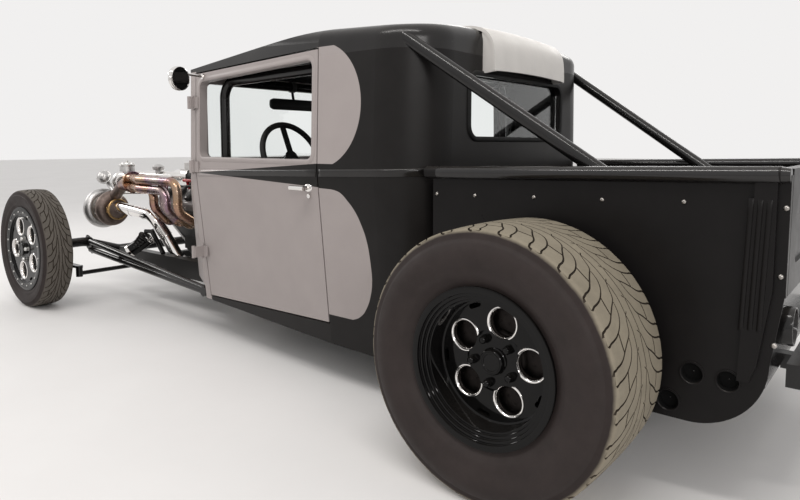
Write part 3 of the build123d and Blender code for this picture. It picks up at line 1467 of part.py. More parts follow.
with BuildPart() as roll_cage:
    add(side_bar)
    mirror(about=Plane.XZ)
    add(hoop)
    add(header_bar)
roll_cage.part.label = "roll_cage"
export_step(roll_cage.part, "parts/roll_cage.step")

# Bench seat, a soft solid
SEAT_FRONT = fore(1230)
SEAT_BACK = fore(770)
SEAT_HALF_W = 470.0
SEAT_BASE_Z = FLOOR_Z + TUNNEL_REAR_R + 6.0
SEAT_H = 105.0
BACKREST_TOP = 880.0
with BuildPart() as seat:
    with BuildSketch(Plane.XZ.offset(-SEAT_HALF_W)):
        with BuildLine():
            Polyline(
                (SEAT_FRONT, SEAT_BASE_Z),
                (SEAT_BACK + 40, SEAT_BASE_Z),
                (SEAT_BACK - 30, BACKREST_TOP),
                (SEAT_BACK + 60, BACKREST_TOP + 10),
                (SEAT_BACK + 140, SEAT_BASE_Z + SEAT_H - 12),
                (SEAT_FRONT, SEAT_BASE_Z + SEAT_H + 14),
                close=True,
            )
        make_face()
    extrude(amount=2 * SEAT_HALF_W)
    for y in (-1, 1):
        add(
            box_between(
                (SEAT_BACK + 70, y * 300 - 90, cage_floor), (SEAT_FRONT - 40, y * 300 + 90, SEAT_BASE_Z + 10)
            )
        )
seat.part.label = "seat"
export_step(seat.part, "parts/seat.step")

# Dashboard and steering column
DASH_X = CAB_FRONT - CAB_WALL - 130
DASH_TOP = 838.0
DASH_H = 150.0
DASH_HALF_W = 458.0
WHEEL_X = fore(1372)
WHEEL_Y = 340.0
WHEEL_Z = 856.0
WHEEL_R = 172.0
COLUMN_TILT = 24.0
column_axis = Vector(-cos(radians(COLUMN_TILT)), 0, sin(radians(COLUMN_TILT)))
column_top = Vector(WHEEL_X, WHEEL_Y, WHEEL_Z) - column_axis * 42
column_foot = column_top - column_axis * 560
column = bar(tuple(column_foot), tuple(column_top), 22)
with BuildPart() as dashboard:
    with BuildSketch(Plane.XZ.offset(-DASH_HALF_W)):
        with Locations((DASH_X + 65, DASH_TOP - DASH_H / 2)):
            RectangleRounded(130 - 2 * SEAT_GAP, DASH_H, 26)
    extrude(amount=2 * DASH_HALF_W)
    add(column)
dashboard.part.label = "dashboard"
export_step(dashboard.part, "parts/dashboard.step")
wheel_plane = Plane(origin=(WHEEL_X, WHEEL_Y, WHEEL_Z), x_dir=(0, 1, 0), z_dir=column_axis)
SPOKES = 3
with BuildPart() as steering_wheel:
    with Locations(wheel_plane.location):
        Torus(WHEEL_R - 13, 13)
    with BuildSketch(wheel_plane.offset(-42 + SEAT_GAP)):
        Circle(26)
    extrude(amount=42)
    with BuildSketch(wheel_plane.offset(-6)):
        Circle(34)
        with PolarLocations(WHEEL_R / 2 - 4, SPOKES, start_angle=-90):
            Rectangle(WHEEL_R - 20, 30)
    extrude(amount=5)
steering_wheel.part.label = "steering_wheel"
export_step(steering_wheel.part, "parts/steering_wheel.step")


# Wheels and tyres
def rim_solid(rim_w, bead_r, disc_inset, hole_r, ring_r, start, hub_back):
    """Deep dish wheel about the Y axis at the origin, its outside towards +Y."""
    half = rim_w / 2
    flange = bead_r + FLANGE_H
    drop = bead_r - DROP_DEPTH
    inner = drop - BARREL_T
    face = half - disc_inset
    with BuildPart() as rim:
        with BuildSketch(Plane.YZ):
            with BuildLine():
                Polyline(
                    (half, flange),
                    (half - FLANGE_T, flange),
                    (half - FLANGE_T, bead_r),
                    (half - 34, bead_r),
                    (half - 46, drop),
                    (-half + 46, drop),
                    (-half + 34, bead_r),
                    (-half + FLANGE_T, bead_r),
                    (-half + FLANGE_T, flange),
                    (-half, flange),
                    (-half, flange - 8),
                    (-half + 30, inner),
                    (face - DISC_T, inner),
                    (face - DISC_T - 6, 90),
                    (face - DISC_T - 6, HUB_R),
                    (-hub_back, HUB_R),
                    (-hub_back, 0),
                    (face + 4, 0),
                    (face + 4, HUB_R),
                    (face, HUB_R + 8),
                    (face, inner - 6),
                    (face + 6, inner),
                    (max(half - 30, face + 8), inner),
                    (half, flange - 8),
                    close=True,
                )
            make_face()
        revolve(axis=Axis.Y)
        with BuildSketch(Plane.XZ.offset(-face - 30)) as cuts:
            with PolarLocations(ring_r, HOLES, start_angle=start):
                Circle(hole_r)
            with PolarLocations(inner - SLOT_R - 7, HOLES, start_angle=start + 180 / HOLES):
                SlotOverall(SLOT_R * 4.2, SLOT_R * 1.5, rotation=90)
        extrude(amount=90, mode=Mode.SUBTRACT)
        with BuildSketch(Plane.XZ.offset(-face)):
            with PolarLocations(LUG_RING_R, HOLES, start_angle=start + 180 / HOLES):
                RegularPolygon(LUG_R, 6)
            Circle(CAP_R)
        extrude(amount=-LUG_H)
    return rim.part


def tyre_solid(tyre_r, tyre_w, tread_w, rim_w, bead_r):
    """Tyre about the Y axis at the origin."""
    half = tyre_w / 2
    bead = rim_w / 2 - FLANGE_T - SEAT_GAP
    tread = tread_w / 2
    flange = bead_r + FLANGE_H
    shoulder = tyre_r - 15.0
    middle = (flange + tyre_r) / 2 - 4
    with BuildPart() as tyre:
        with BuildSketch(Plane.YZ):
            with BuildLine():
                Polyline(
                    (-bead, flange + 3),
                    (-bead, bead_r + SEAT_GAP),
                    (bead, bead_r + SEAT_GAP),
                    (bead, flange + 3),
                )
                ThreePointArc((bead, flange + 3), (half, middle), (tread + 6, shoulder))
                Line((tread + 6, shoulder), (tread - 8, tyre_r - 4))
                ThreePointArc((tread - 8, tyre_r - 4), (0, tyre_r), (-tread + 8, tyre_r - 4))
                Line((-tread + 8, tyre_r - 4), (-tread - 6, shoulder))
                ThreePointArc((-tread - 6, shoulder), (-half, middle), (-bead, flange + 3))
            make_face()
        revolve(axis=Axis.Y)
    return tyre.part


rear_rim = rim_solid(
    REAR_RIM_W,
    REAR_BEAD_R,
    REAR_DISC_INSET,
    REAR_HOLE_R,
    REAR_HOLE_RING_R,
    REAR_HOLE_START,
    REAR_WHEEL_Y - HOUSING_END - 0.5,
)
rear_tyre = tyre_solid(REAR_TYRE_R, REAR_TYRE_W, REAR_TREAD_W, REAR_RIM_W, REAR_BEAD_R)
front_rim = rim_solid(
    FRONT_RIM_W,
    FRONT_BEAD_R,
    FRONT_DISC_INSET,
    FRONT_HOLE_R,
    FRONT_HOLE_RING_R,
    FRONT_HOLE_START,
    FRONT_WHEEL_Y - SPINDLE_END - 0.5,
)
front_tyre = tyre_solid(FRONT_TYRE_R, FRONT_TYRE_W, FRONT_TREAD_W, FRONT_RIM_W, FRONT_BEAD_R)
CORNERS = (
    dict(name="rear_left", rim=rear_rim, tyre=rear_tyre, x=REAR_AXLE_X, y=REAR_WHEEL_Y, z=REAR_TYRE_R),
    dict(name="rear_right", rim=rear_rim, tyre=rear_tyre, x=REAR_AXLE_X, y=-REAR_WHEEL_Y, z=REAR_TYRE_R),
    dict(name="front_left", rim=front_rim, tyre=front_tyre, x=FRONT_AXLE_X, y=FRONT_WHEEL_Y, z=FRONT_TYRE_R),
    dict(name="front_right", rim=front_rim, tyre=front_tyre, x=FRONT_AXLE_X, y=-FRONT_WHEEL_Y, z=FRONT_TYRE_R),
)
for corner in CORNERS:
    place = Pos(corner["x"], corner["y"], corner["z"])
    for kind in ("rim", "tyre"):
        shape = corner[kind] if corner["y"] > 0 else corner[kind].mirror(Plane.XZ)
        placed = place * shape
        placed.label = f"{kind}_{corner['name']}"
        export_step(placed, f"parts/{kind}_{corner['name']}.step")
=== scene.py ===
import math

import bmesh
import bpy
import numpy as np
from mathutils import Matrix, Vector, geometry


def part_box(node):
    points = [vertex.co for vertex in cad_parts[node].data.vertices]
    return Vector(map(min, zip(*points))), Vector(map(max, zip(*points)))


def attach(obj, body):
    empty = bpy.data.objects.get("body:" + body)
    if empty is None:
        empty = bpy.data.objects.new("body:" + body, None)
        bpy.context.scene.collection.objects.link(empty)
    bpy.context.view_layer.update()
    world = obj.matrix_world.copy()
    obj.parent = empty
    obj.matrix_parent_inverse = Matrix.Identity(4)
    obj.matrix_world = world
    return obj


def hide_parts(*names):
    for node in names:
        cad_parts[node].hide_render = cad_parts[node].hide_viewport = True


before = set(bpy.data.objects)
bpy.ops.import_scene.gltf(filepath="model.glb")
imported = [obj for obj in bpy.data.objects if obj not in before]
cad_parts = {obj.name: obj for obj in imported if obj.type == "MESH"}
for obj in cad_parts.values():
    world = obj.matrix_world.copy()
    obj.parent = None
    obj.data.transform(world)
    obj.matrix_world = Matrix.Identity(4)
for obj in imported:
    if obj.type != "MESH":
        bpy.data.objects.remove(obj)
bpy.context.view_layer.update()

# Places named from the CAD source, in metres. Profiles, radii and bevels are in millimetres.
MM = 0.001
REAR_AXLE = -1.3601
FRONT_AXLE = 1.6799
REAR_R = 0.3556
FRONT_R = 0.3302
CAB_BACK = REAR_AXLE + 0.410
DOOR_REAR = REAR_AXLE + 0.865
CAB_FRONT = REAR_AXLE + 1.770
CAB_CORNER_R = 0.190
SECTIONS = {
    "sill": dict(z=(0.185, 0.160), w=(0.541, 0.600, 0.596)),
    "belt": dict(z=(0.790, 0.815), w=(0.606, 0.664, 0.660)),
    "drip": dict(z=(1.228, 1.228), w=(0.592, 0.650, 0.644)),
}
SIDES = (("left", 1), ("right", -1))
AHEAD, LEFT, UP = Vector((1, 0, 0)), Vector((0, 1, 0)), Vector((0, 0, 1))


def fore(distance):
    """Station in the row frame of a distance ahead of the rear axle."""
    return REAR_AXLE + distance


def height_at(name, x):
    """Height of a cab section at a station."""
    front, rear = SECTIONS[name]["z"]
    return rear + (front - rear) * (x - DOOR_REAR) / (CAB_FRONT - DOOR_REAR)


def half_width_at(name, x):
    """Half width of a cab section at a station, before its rear corners are rounded."""
    front, rear, back = SECTIONS[name]["w"]
    if x < DOOR_REAR:
        return rear + (rear - back) * (x - DOOR_REAR) / (DOOR_REAR - CAB_BACK)
    return rear + (front - rear) * (x - DOOR_REAR) / (CAB_FRONT - DOOR_REAR)


def skin(x, z):
    """Half width of the cab's outside at a station and height."""
    low, high = ("sill", "belt") if z < height_at("belt", x) else ("belt", "drip")
    z_low, z_high = height_at(low, x), height_at(high, x)
    share = min(1.0, (z - z_low) / (z_high - z_low))
    return half_width_at(low, x) * (1 - share) + half_width_at(high, x) * share


def on_skin(x, z, side, lift=0.0):
    """Place on one side of the cab's outside, lifted off it."""
    return Vector((x, side * (skin(x, z) + lift), z))


# ---------------------------------------------------------------- materials
class Look:
    """A procedural material built from a few named layers."""

    def __init__(self, name, rough=0.5, metal=0.0, spec=0.3, coat=0.0):
        self.m = bpy.data.materials.new(name)
        self.m.use_nodes = True
        self.t = self.m.node_tree
        self.p = self.t.nodes["Principled BSDF"]
        self.p.inputs["Roughness"].default_value = rough
        self.p.inputs["Metallic"].default_value = metal
        self.p.inputs["Specular IOR Level"].default_value = spec
        self.p.inputs["Coat Weight"].default_value = coat
        self.p.inputs["Coat Roughness"].default_value = 0.1
        self.place = self.new("TexCoord").outputs["Object"]
        self.height = None

    def put(self, socket, value):
        """Set a socket to a number or a colour, or link an output to it."""
        if isinstance(value, (int, float)):
            socket.default_value = value
        elif isinstance(value, (tuple, list)):
            socket.default_value = (*value[:3], 1.0)
        else:
            self.t.links.new(value, socket)

    def new(self, kind, **values):
        node = self.t.nodes.new("ShaderNode" + kind)
        for name, value in values.items():
            self.put(node.inputs[name], value)
        return node

    def axis(self, which, vector=None):
        return self.new("SeparateXYZ", Vector=vector or self.place).outputs[which]

    def noise(self, scale, detail=4.0, rough=0.55, distortion=0.0):
        sizes = dict(Scale=scale, Detail=detail, Roughness=rough, Distortion=distortion)
        return self.new("TexNoise", Vector=self.place, **sizes).outputs["Fac"]

    def cells(self, scale, feature="F1"):
        node = self.new("TexVoronoi", Vector=self.place, Scale=scale)
        node.feature = feature
        return node.outputs["Distance"]

    def ramp(self, fac, *stops):
        node = self.t.nodes.new("ShaderNodeValToRGB")
        self.put(node.inputs[0], fac)
        elements = node.color_ramp.elements
        for index, (place, colour) in enumerate(stops):
            if index < 2:
                elements[index].position = place
            else:
                elements.new(place)
            value = colour if isinstance(colour, (tuple, list)) else (colour,) * 3
            elements[index].color = (*value[:3], 1.0)
        return node.outputs["Color"]

    def math(self, how, a, b=0.0, clamp=False):
        node = self.new("Math")
        node.operation = how
        node.use_clamp = clamp
        self.put(node.inputs[0], a)
        self.put(node.inputs[1], b)
        return node.outputs[0]

    def minus(self, a, b, clamp=False):
        return self.math("SUBTRACT", a, b, clamp)

    def times(self, first, *others):
        for other in others:
            first = self.math("MULTIPLY", first, other)
        return first

    def mix(self, fac, a, b):
        node = self.new("Mix")
        node.data_type = "RGBA"
        for index, value in ((0, fac), (6, a), (7, b)):
            self.put(node.inputs[index], value)
        return node.outputs[2]

    def up(self):
        """How far the surface faces the sky."""
        return self.ramp(self.axis(2, self.new("NewGeometry").outputs["Normal"]), (0.35, 0.0), (0.95, 1.0))

    def colour(self, value):
        self.put(self.p.inputs["Base Color"], value)

    def rough(self, fac, low, high):
        self.put(self.p.inputs["Roughness"], self.ramp(fac, (0.25, low), (0.75, high)))

    def bump(self, height, strength, distance):
        node = self.new("Bump", Strength=strength, Distance=distance, Height=height)
        if self.height is not None:
            self.put(node.inputs["Normal"], self.height)
        self.height = node.outputs["Normal"]
        self.put(self.p.inputs["Normal"], self.height)


BLACK = (0.0105, 0.0095, 0.0092)
GREY = (0.335, 0.300, 0.292)
DUST = (0.30, 0.27, 0.24)
SIDEWALL = (0.0265, 0.0200, 0.0188)


def scaled(colour, factor):
    return tuple(min(1.0, c * factor) for c in colour)


def tinted(look, base, spread, scale=9.0, dust=0.0):
    """Base colour that wanders a little, with dust where it faces up."""
    stops = (0.3, scaled(base, 1 - spread)), (0.7, scaled(base, 1 + spread))
    colour = look.ramp(look.noise(scale, 6.0, 0.6), *stops)
    if dust:
        colour = look.mix(look.times(look.up(), look.noise(38.0, 8.0, 0.7), dust), colour, DUST)
    return colour


def painted(name, base, rough, spread=0.12, dust=0.12, peel=0.06, spec=0.25):
    look = Look(name, rough=rough, spec=spec)
    look.colour(tinted(look, base, spread, dust=dust))
    look.rough(look.noise(6.0, 7.0, 0.65), rough * 0.82, min(1.0, rough * 1.3))
    look.bump(look.noise(420.0, 2.0, 0.5), peel, 0.0006)
    return look


def metal(name, base, rough, spread=0.10, grain=0.0, pits=0.0, scale=14.0):
    look = Look(name, rough=rough, metal=1.0)
    look.colour(tinted(look, base, spread, scale=scale))
    look.rough(look.noise(30.0, 8.0, 0.7), rough * 0.7, min(1.0, rough * 1.5))
    if grain:
        look.bump(look.noise(260.0, 5.0, 0.7), grain, 0.0008)
    if pits:
        look.bump(look.noise(60.0, 9.0, 0.75), pits, 0.0012)
    return look


def two_tone(name, mask_of, rough=0.36, spec=0.15):
    """Satin black with warm grey areas; the mask says where it is grey."""
    look = Look(name, rough=rough, spec=spec)
    black = tinted(look, BLACK, 0.14, dust=0.14)
    grey = tinted(look, GREY, 0.05, scale=4.0, dust=0.05)
    smudge = look.ramp(look.noise(2.2, 9.0, 0.62), (0.45, 0.0), (0.78, 0.16))
    look.colour(look.mix(mask_of(look), black, look.mix(smudge, grey, scaled(GREY, 0.72))))
    look.rough(look.noise(5.0, 7.0, 0.65), rough * 0.85, rough * 1.17)
    look.bump(look.noise(420.0, 2.0, 0.5), 0.05, 0.0006)
    return look


def below(look, value, limit, soft=0.0012):
    """1 where value is under limit, with a thin soft edge."""
    return look.math("MULTIPLY", look.math("ADD", look.minus(limit, value), soft / 2), 1 / soft, True)


UPPER_LOBE = dict(x=0.861, reach=0.203, z=1.051, half=0.2225, low=0.843, high=1.259)
# Height and reach behind the lobe's front edge
LOWER_CURVE = ((0.276, 0.118), (0.300, 0.165), (0.333, 0.192), (0.375, 0.212), (0.430, 0.225), (0.500, 0.224),
               (0.583, 0.212), (0.640, 0.190), (0.677, 0.169), (0.715, 0.135), (0.744, 0.097), (0.754, 0.005))
REACH_MAX = 0.3
PILLAR_X = 1.722
PILLAR_TOP = 1.238
SIDE_FROM = 0.45
SPEAR = dict(tip=1.709, run=0.838, z=0.786, rise=0.057, fall=0.029)


def outward(look):
    """0 on a surface that faces the cab's inside from its side, 1 elsewhere."""
    facing = look.axis(1, look.new("TexCoord").outputs["Normal"])
    return look.math("GREATER_THAN", look.times(facing, look.math("SIGN", look.axis(1))), -0.6)


def lobe_mask(look):
    """Grey lobes behind the door seam, one above the belt and one below, and the grey pillar ahead of the door."""
    x, z, lobe = look.axis(0), look.axis(2), UPPER_LOBE
    t = look.math("DIVIDE", look.minus(z, lobe["z"]), lobe["half"])
    span = look.math("SQRT", look.minus(1.0, look.times(t, t), True))
    edge = look.minus(fore(lobe["x"]), look.times(span, lobe["reach"]))
    ahead = look.math("LESS_THAN", x, fore(lobe["x"] + 0.02))
    upper = look.times(below(look, edge, x), below(look, lobe["low"], z), below(look, z, lobe["high"]), ahead)
    node = look.new("FloatCurve")
    curve = node.mapping.curves[0]
    low, high = LOWER_CURVE[0][0], LOWER_CURVE[-1][0]
    spots = [((height - low) / (high - low), reach / REACH_MAX) for height, reach in LOWER_CURVE]
    curve.points[0].location = spots[0]
    curve.points[1].location = spots[-1]
    for spot in spots[1:-1]:
        curve.points.new(*spot)
    node.mapping.update()
    look.put(node.inputs["Value"], look.math("DIVIDE", look.minus(z, low), high - low))
    edge = look.minus(fore(lobe["x"]), look.times(node.outputs[0], REACH_MAX))
    inside = look.times(look.math("GREATER_THAN", z, low), look.math("LESS_THAN", z, high))
    lower = look.times(below(look, edge, x), inside, ahead)
    side = look.times(look.math("GREATER_THAN", look.math("ABSOLUTE", look.axis(1)), SIDE_FROM), outward(look))
    lobes = look.times(look.math("MAXIMUM", upper, lower), side)
    front, under = look.math("GREATER_THAN", x, fore(PILLAR_X)), look.math("LESS_THAN", z, PILLAR_TOP)
    return look.math("MAXIMUM", lobes, look.times(front, under))


def spear_mask(look):
    """Grey door with a black spear along the belt that comes to a point in front."""
    share = look.math("DIVIDE", look.minus(fore(SPEAR["tip"]), look.axis(0)), SPEAR["run"])
    z = look.axis(2)
    top = look.math("ADD", look.times(share, SPEAR["rise"]), SPEAR["z"])
    foot = look.minus(SPEAR["z"], look.times(share, SPEAR["fall"]))
    spear = look.times(below(look, z, top), below(look, foot, z), look.math("GREATER_THAN", share, 0.0))
    return look.times(look.minus(1.0, spear, True), outward(look))


def all_grey(look):
    return look.math("GREATER_THAN", look.axis(2), -1.0)


def heat_tinted():
    look = Look("heat_tinted_steel", rough=0.26, metal=1.0)
    look.colour(
        look.ramp(
            look.noise(5.5, 5.0, 0.55, distortion=0.4),
            (0.30, (0.36, 0.28, 0.23)), (0.42, (0.38, 0.25, 0.16)), (0.50, (0.34, 0.20, 0.16)),
            (0.57, (0.24, 0.16, 0.20)), (0.66, (0.34, 0.27, 0.25)), (0.80, (0.44, 0.36, 0.32)),
        )
    )
    look.rough(look.noise(40.0, 8.0, 0.7), 0.18, 0.36)
    look.bump(look.noise(300.0, 3.0, 0.5), 0.03, 0.0005)
    return look


def glass():
    look = Look("window_glass", rough=0.0, spec=0.3)
    look.p.inputs["Transmission Weight"].default_value = 1.0
    look.p.inputs["IOR"].default_value = 1.45
    look.colour(look.ramp(look.noise(2.5), (0.3, (0.90, 0.94, 0.93)), (0.7, (0.94, 0.97, 0.96))))
    look.rough(look.noise(18.0, 8.0, 0.7), 0.0, 0.02)
    return look


def lens():
    look = Look("red_lens", rough=0.12, coat=0.08, spec=0.25)
    look.colour(tinted(look, (0.22, 0.008, 0.005), 0.2))
    look.bump(look.cells(190.0), 0.5, 0.001)
    return look


def leather():
    look = Look("black_leather", rough=0.5)
    look.colour(tinted(look, (0.016, 0.015, 0.014), 0.2, dust=0.1))
    look.bump(look.cells(260.0, "SMOOTH_F1"), 0.35, 0.0008)
    look.bump(look.noise(24.0, 6.0), 0.2, 0.002)
    return look


def rubber(name, base, rough, spread, tread=None, hub=None, fade=None):
    """Tyre rubber; with a tread colour, that covers what lies further from the hub than the fade."""
    look = Look(name, rough=rough, spec=0.2)
    scuff = look.ramp(look.noise(70.0, 8.0, 0.7), (0.48, 0.0), (0.75, 0.30))
    tone = look.mix(scuff, tinted(look, base, spread, scale=13.0), scaled(base, 1.5))
    if tread:
        speck = look.ramp(look.noise(120.0, 8.0, 0.7), (0.45, 0.0), (0.75, 0.35))
        worn = look.mix(speck, tinted(look, tread, 0.10, scale=17.0), scaled(tread, 0.72))
        x, z = (look.minus(look.axis(which), place) for which, place in zip((0, 2), hub))
        far = look.math("SQRT", look.math("ADD", look.times(x, x), look.times(z, z)))
        ragged = look.math("ADD", far, look.times(look.minus(look.noise(22.0, 6.0), 0.5), 0.006))
        share = look.math("DIVIDE", look.minus(ragged, fade[0]), fade[1] - fade[0], True)
        tone = look.mix(share, tone, worn)
    look.colour(tone)
    look.rough(look.noise(22.0, 6.0), rough * 0.88, min(1.0, rough * 1.12))
    look.bump(look.noise(340.0, 5.0, 0.7), 0.18, 0.0006)
    return look


WORN_REAR = dict(tread=(0.232, 0.204, 0.156), hub=(REAR_AXLE, REAR_R), fade=(0.3405, 0.3480))
WORN_FRONT = dict(tread=(0.110, 0.098, 0.085), hub=(FRONT_AXLE, FRONT_R), fade=(0.318, 0.325))
MAT = dict(
    # The bed sides, floor and tailgate get the cab's satin black painted darker, as painted shade below the bed rail.
    body=painted("satin_black_paint_darkened_as_shade", (0.0080, 0.0072, 0.0072), 0.30, spec=0.13),
    cab=two_tone("cab_paint", lobe_mask),
    door=two_tone("door_paint", spear_mask),
    roof=two_tone("roof_paint", lobe_mask, 0.25, 0.34),
    cab_bead=two_tone("cab_bead_paint", lobe_mask, 0.20, 0.40),
    door_bead=two_tone("door_bead_paint", spear_mask, 0.20, 0.40),
    grey=two_tone("grey_paint", all_grey),
    frame=painted("frame_satin_black", (0.010, 0.0095, 0.009), 0.34, dust=0.2),
    black_metal=painted("gloss_black_steel", (0.008, 0.0075, 0.0075), 0.17, spec=0.38),
    wheel=painted("wheel_gloss_black", (0.0035, 0.0033, 0.0033), 0.08, dust=0.04, peel=0.02, spec=0.20),
    rail=painted("gloss_black_rail", (0.0080, 0.0072, 0.0072), 0.17, peel=0.02, spec=0.50),
    screw=metal("dull_screws", (0.36, 0.34, 0.32), 0.34, spread=0.2),
    plastic=painted("black_moulded_plastic", (0.012, 0.012, 0.012), 0.55, peel=0.25),
    dark=painted("interior_black", (0.006, 0.006, 0.006), 0.75, dust=0.0, peel=0.3, spec=0.1),
    mirror=painted("dark_mirror_glass", (0.006, 0.006, 0.006), 0.04, dust=0.0, peel=0.0, spec=0.25),
    iron=painted("engine_black", (0.016, 0.015, 0.014), 0.42, spread=0.3, dust=0.3, peel=0.4),
    chrome=metal("polished_chrome", (0.80, 0.78, 0.76), 0.07, spread=0.04),
    polished=metal("polished_alloy", (0.78, 0.76, 0.74), 0.14, spread=0.06, grain=0.03),
    cast=metal("cast_alloy", (0.52, 0.51, 0.50), 0.36, spread=0.14, pits=0.35),
    turbine=metal("turbine_casting", (0.21, 0.165, 0.145), 0.52, spread=0.35, pits=0.5, scale=26.0),
    gold=metal("heat_gold_clamp", (0.50, 0.33, 0.15), 0.30, spread=0.30, grain=0.05, scale=30.0),
    # Brake disc iron painted near black: partly the disc's own dark iron, partly painted shade inside the wheel seen
    # through its holes.
    rotor=metal("brake_iron_with_painted_shade", (0.022, 0.019, 0.018), 0.42, spread=0.25, pits=0.2, scale=30.0),
    red=painted("red_anodised", (0.42, 0.018, 0.020), 0.28, spec=0.4),
    white=painted("white_panel", (0.62, 0.60, 0.575), 0.45, spread=0.05, dust=0.0, spec=0.3),
    reservoir=painted("pale_reservoir", (0.55, 0.54, 0.53), 0.35, spread=0.08, dust=0.1),
    rubber=painted("black_seal_rubber", (0.010, 0.010, 0.010), 0.6, spec=0.2, peel=0.15),
    steel=metal("zinc_bolts", (0.60, 0.59, 0.57), 0.30, spread=0.15),
    headers=heat_tinted(),
    glass=glass(),
    lens=lens(),
    leather=leather(),
    sidewall=rubber("sidewall_rubber", SIDEWALL, 0.60, 0.16),
    tread_rear=rubber("worn_tread_rear", SIDEWALL, 0.78, 0.16, **WORN_REAR),
    tread_front=rubber("worn_tread_front", SIDEWALL, 0.76, 0.16, **WORN_FRONT),
    groove=rubber("groove_rubber", (0.040, 0.031, 0.023), 0.85, 0.2),
)
NODE_LOOKS = {
    "black_metal": "front_axle radius_rods front_coilovers rear_axle rear_suspension roll_cage tail_panel roof_struts "
    "knuckle_left knuckle_right tie_rod",
    "body": "bed_sides bed_floor tailgate",
    "cab": "cab_shell",
    "cast": "driveline valve_covers front_drive turbo_compressors wastegates",
    "chrome": "downpipes door_fittings_left door_fittings_right",
    "dark": "cab_floor",
    "door": "door_left door_right",
    "frame": "frame_rails",
    "glass": "windscreen rear_glass",
    "grey": "cowl door_hinges_left door_hinges_right",
    "headers": "headers",
    "iron": "engine_block",
    "leather": "seat",
    "lens": "tail_lamps",
    "plastic": "intake_manifold dashboard steering_wheel",
    "polished": "charge_pipes",
    "roof": "roof",
    "sidewall": "tyre_front_left tyre_front_right tyre_rear_left tyre_rear_right",
    "turbine": "turbo_turbines",
    "wheel": "rim_front_left rim_front_right rim_rear_left rim_rear_right",
}
for look, names in NODE_LOOKS.items():
    for name in names.split():
        for material_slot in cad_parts[name].material_slots:
            material_slot.material = MAT[look].m


# ---------------------------------------------------------------- mesh helpers
def basis(axis):
    """Two directions across an axis, and the axis itself."""
    w = Vector(axis).normalized()
    u = w.orthogonal().normalized()
    return u, w.cross(u), w


def circle(middle, u, v, radius, count, start=0.0):
    """Places round a circle in the plane of u and v, from a start angle in degrees."""
    angles = (math.radians(start) + 2 * math.pi * k / count for k in range(count))
    return [Vector(middle) + (u * math.cos(a) + v * math.sin(a)) * radius for a in angles]


def curve_through(points, steps):
    """Smooth line through points."""
    points = [Vector(p) for p in points]
    padded = [points[0], *points, points[-1]]
    line = []
    for a, b, c, d in zip(padded, padded[1:], padded[2:], padded[3:]):
        for step in range(steps):
            t = step / steps
            line.append(
                0.5 * (2 * b + (c - a) * t + (2 * a - 5 * b + 4 * c - d) * t**2 + (3 * b - a - 3 * c + d) * t**3)
            )
    return [*line, points[-1]]


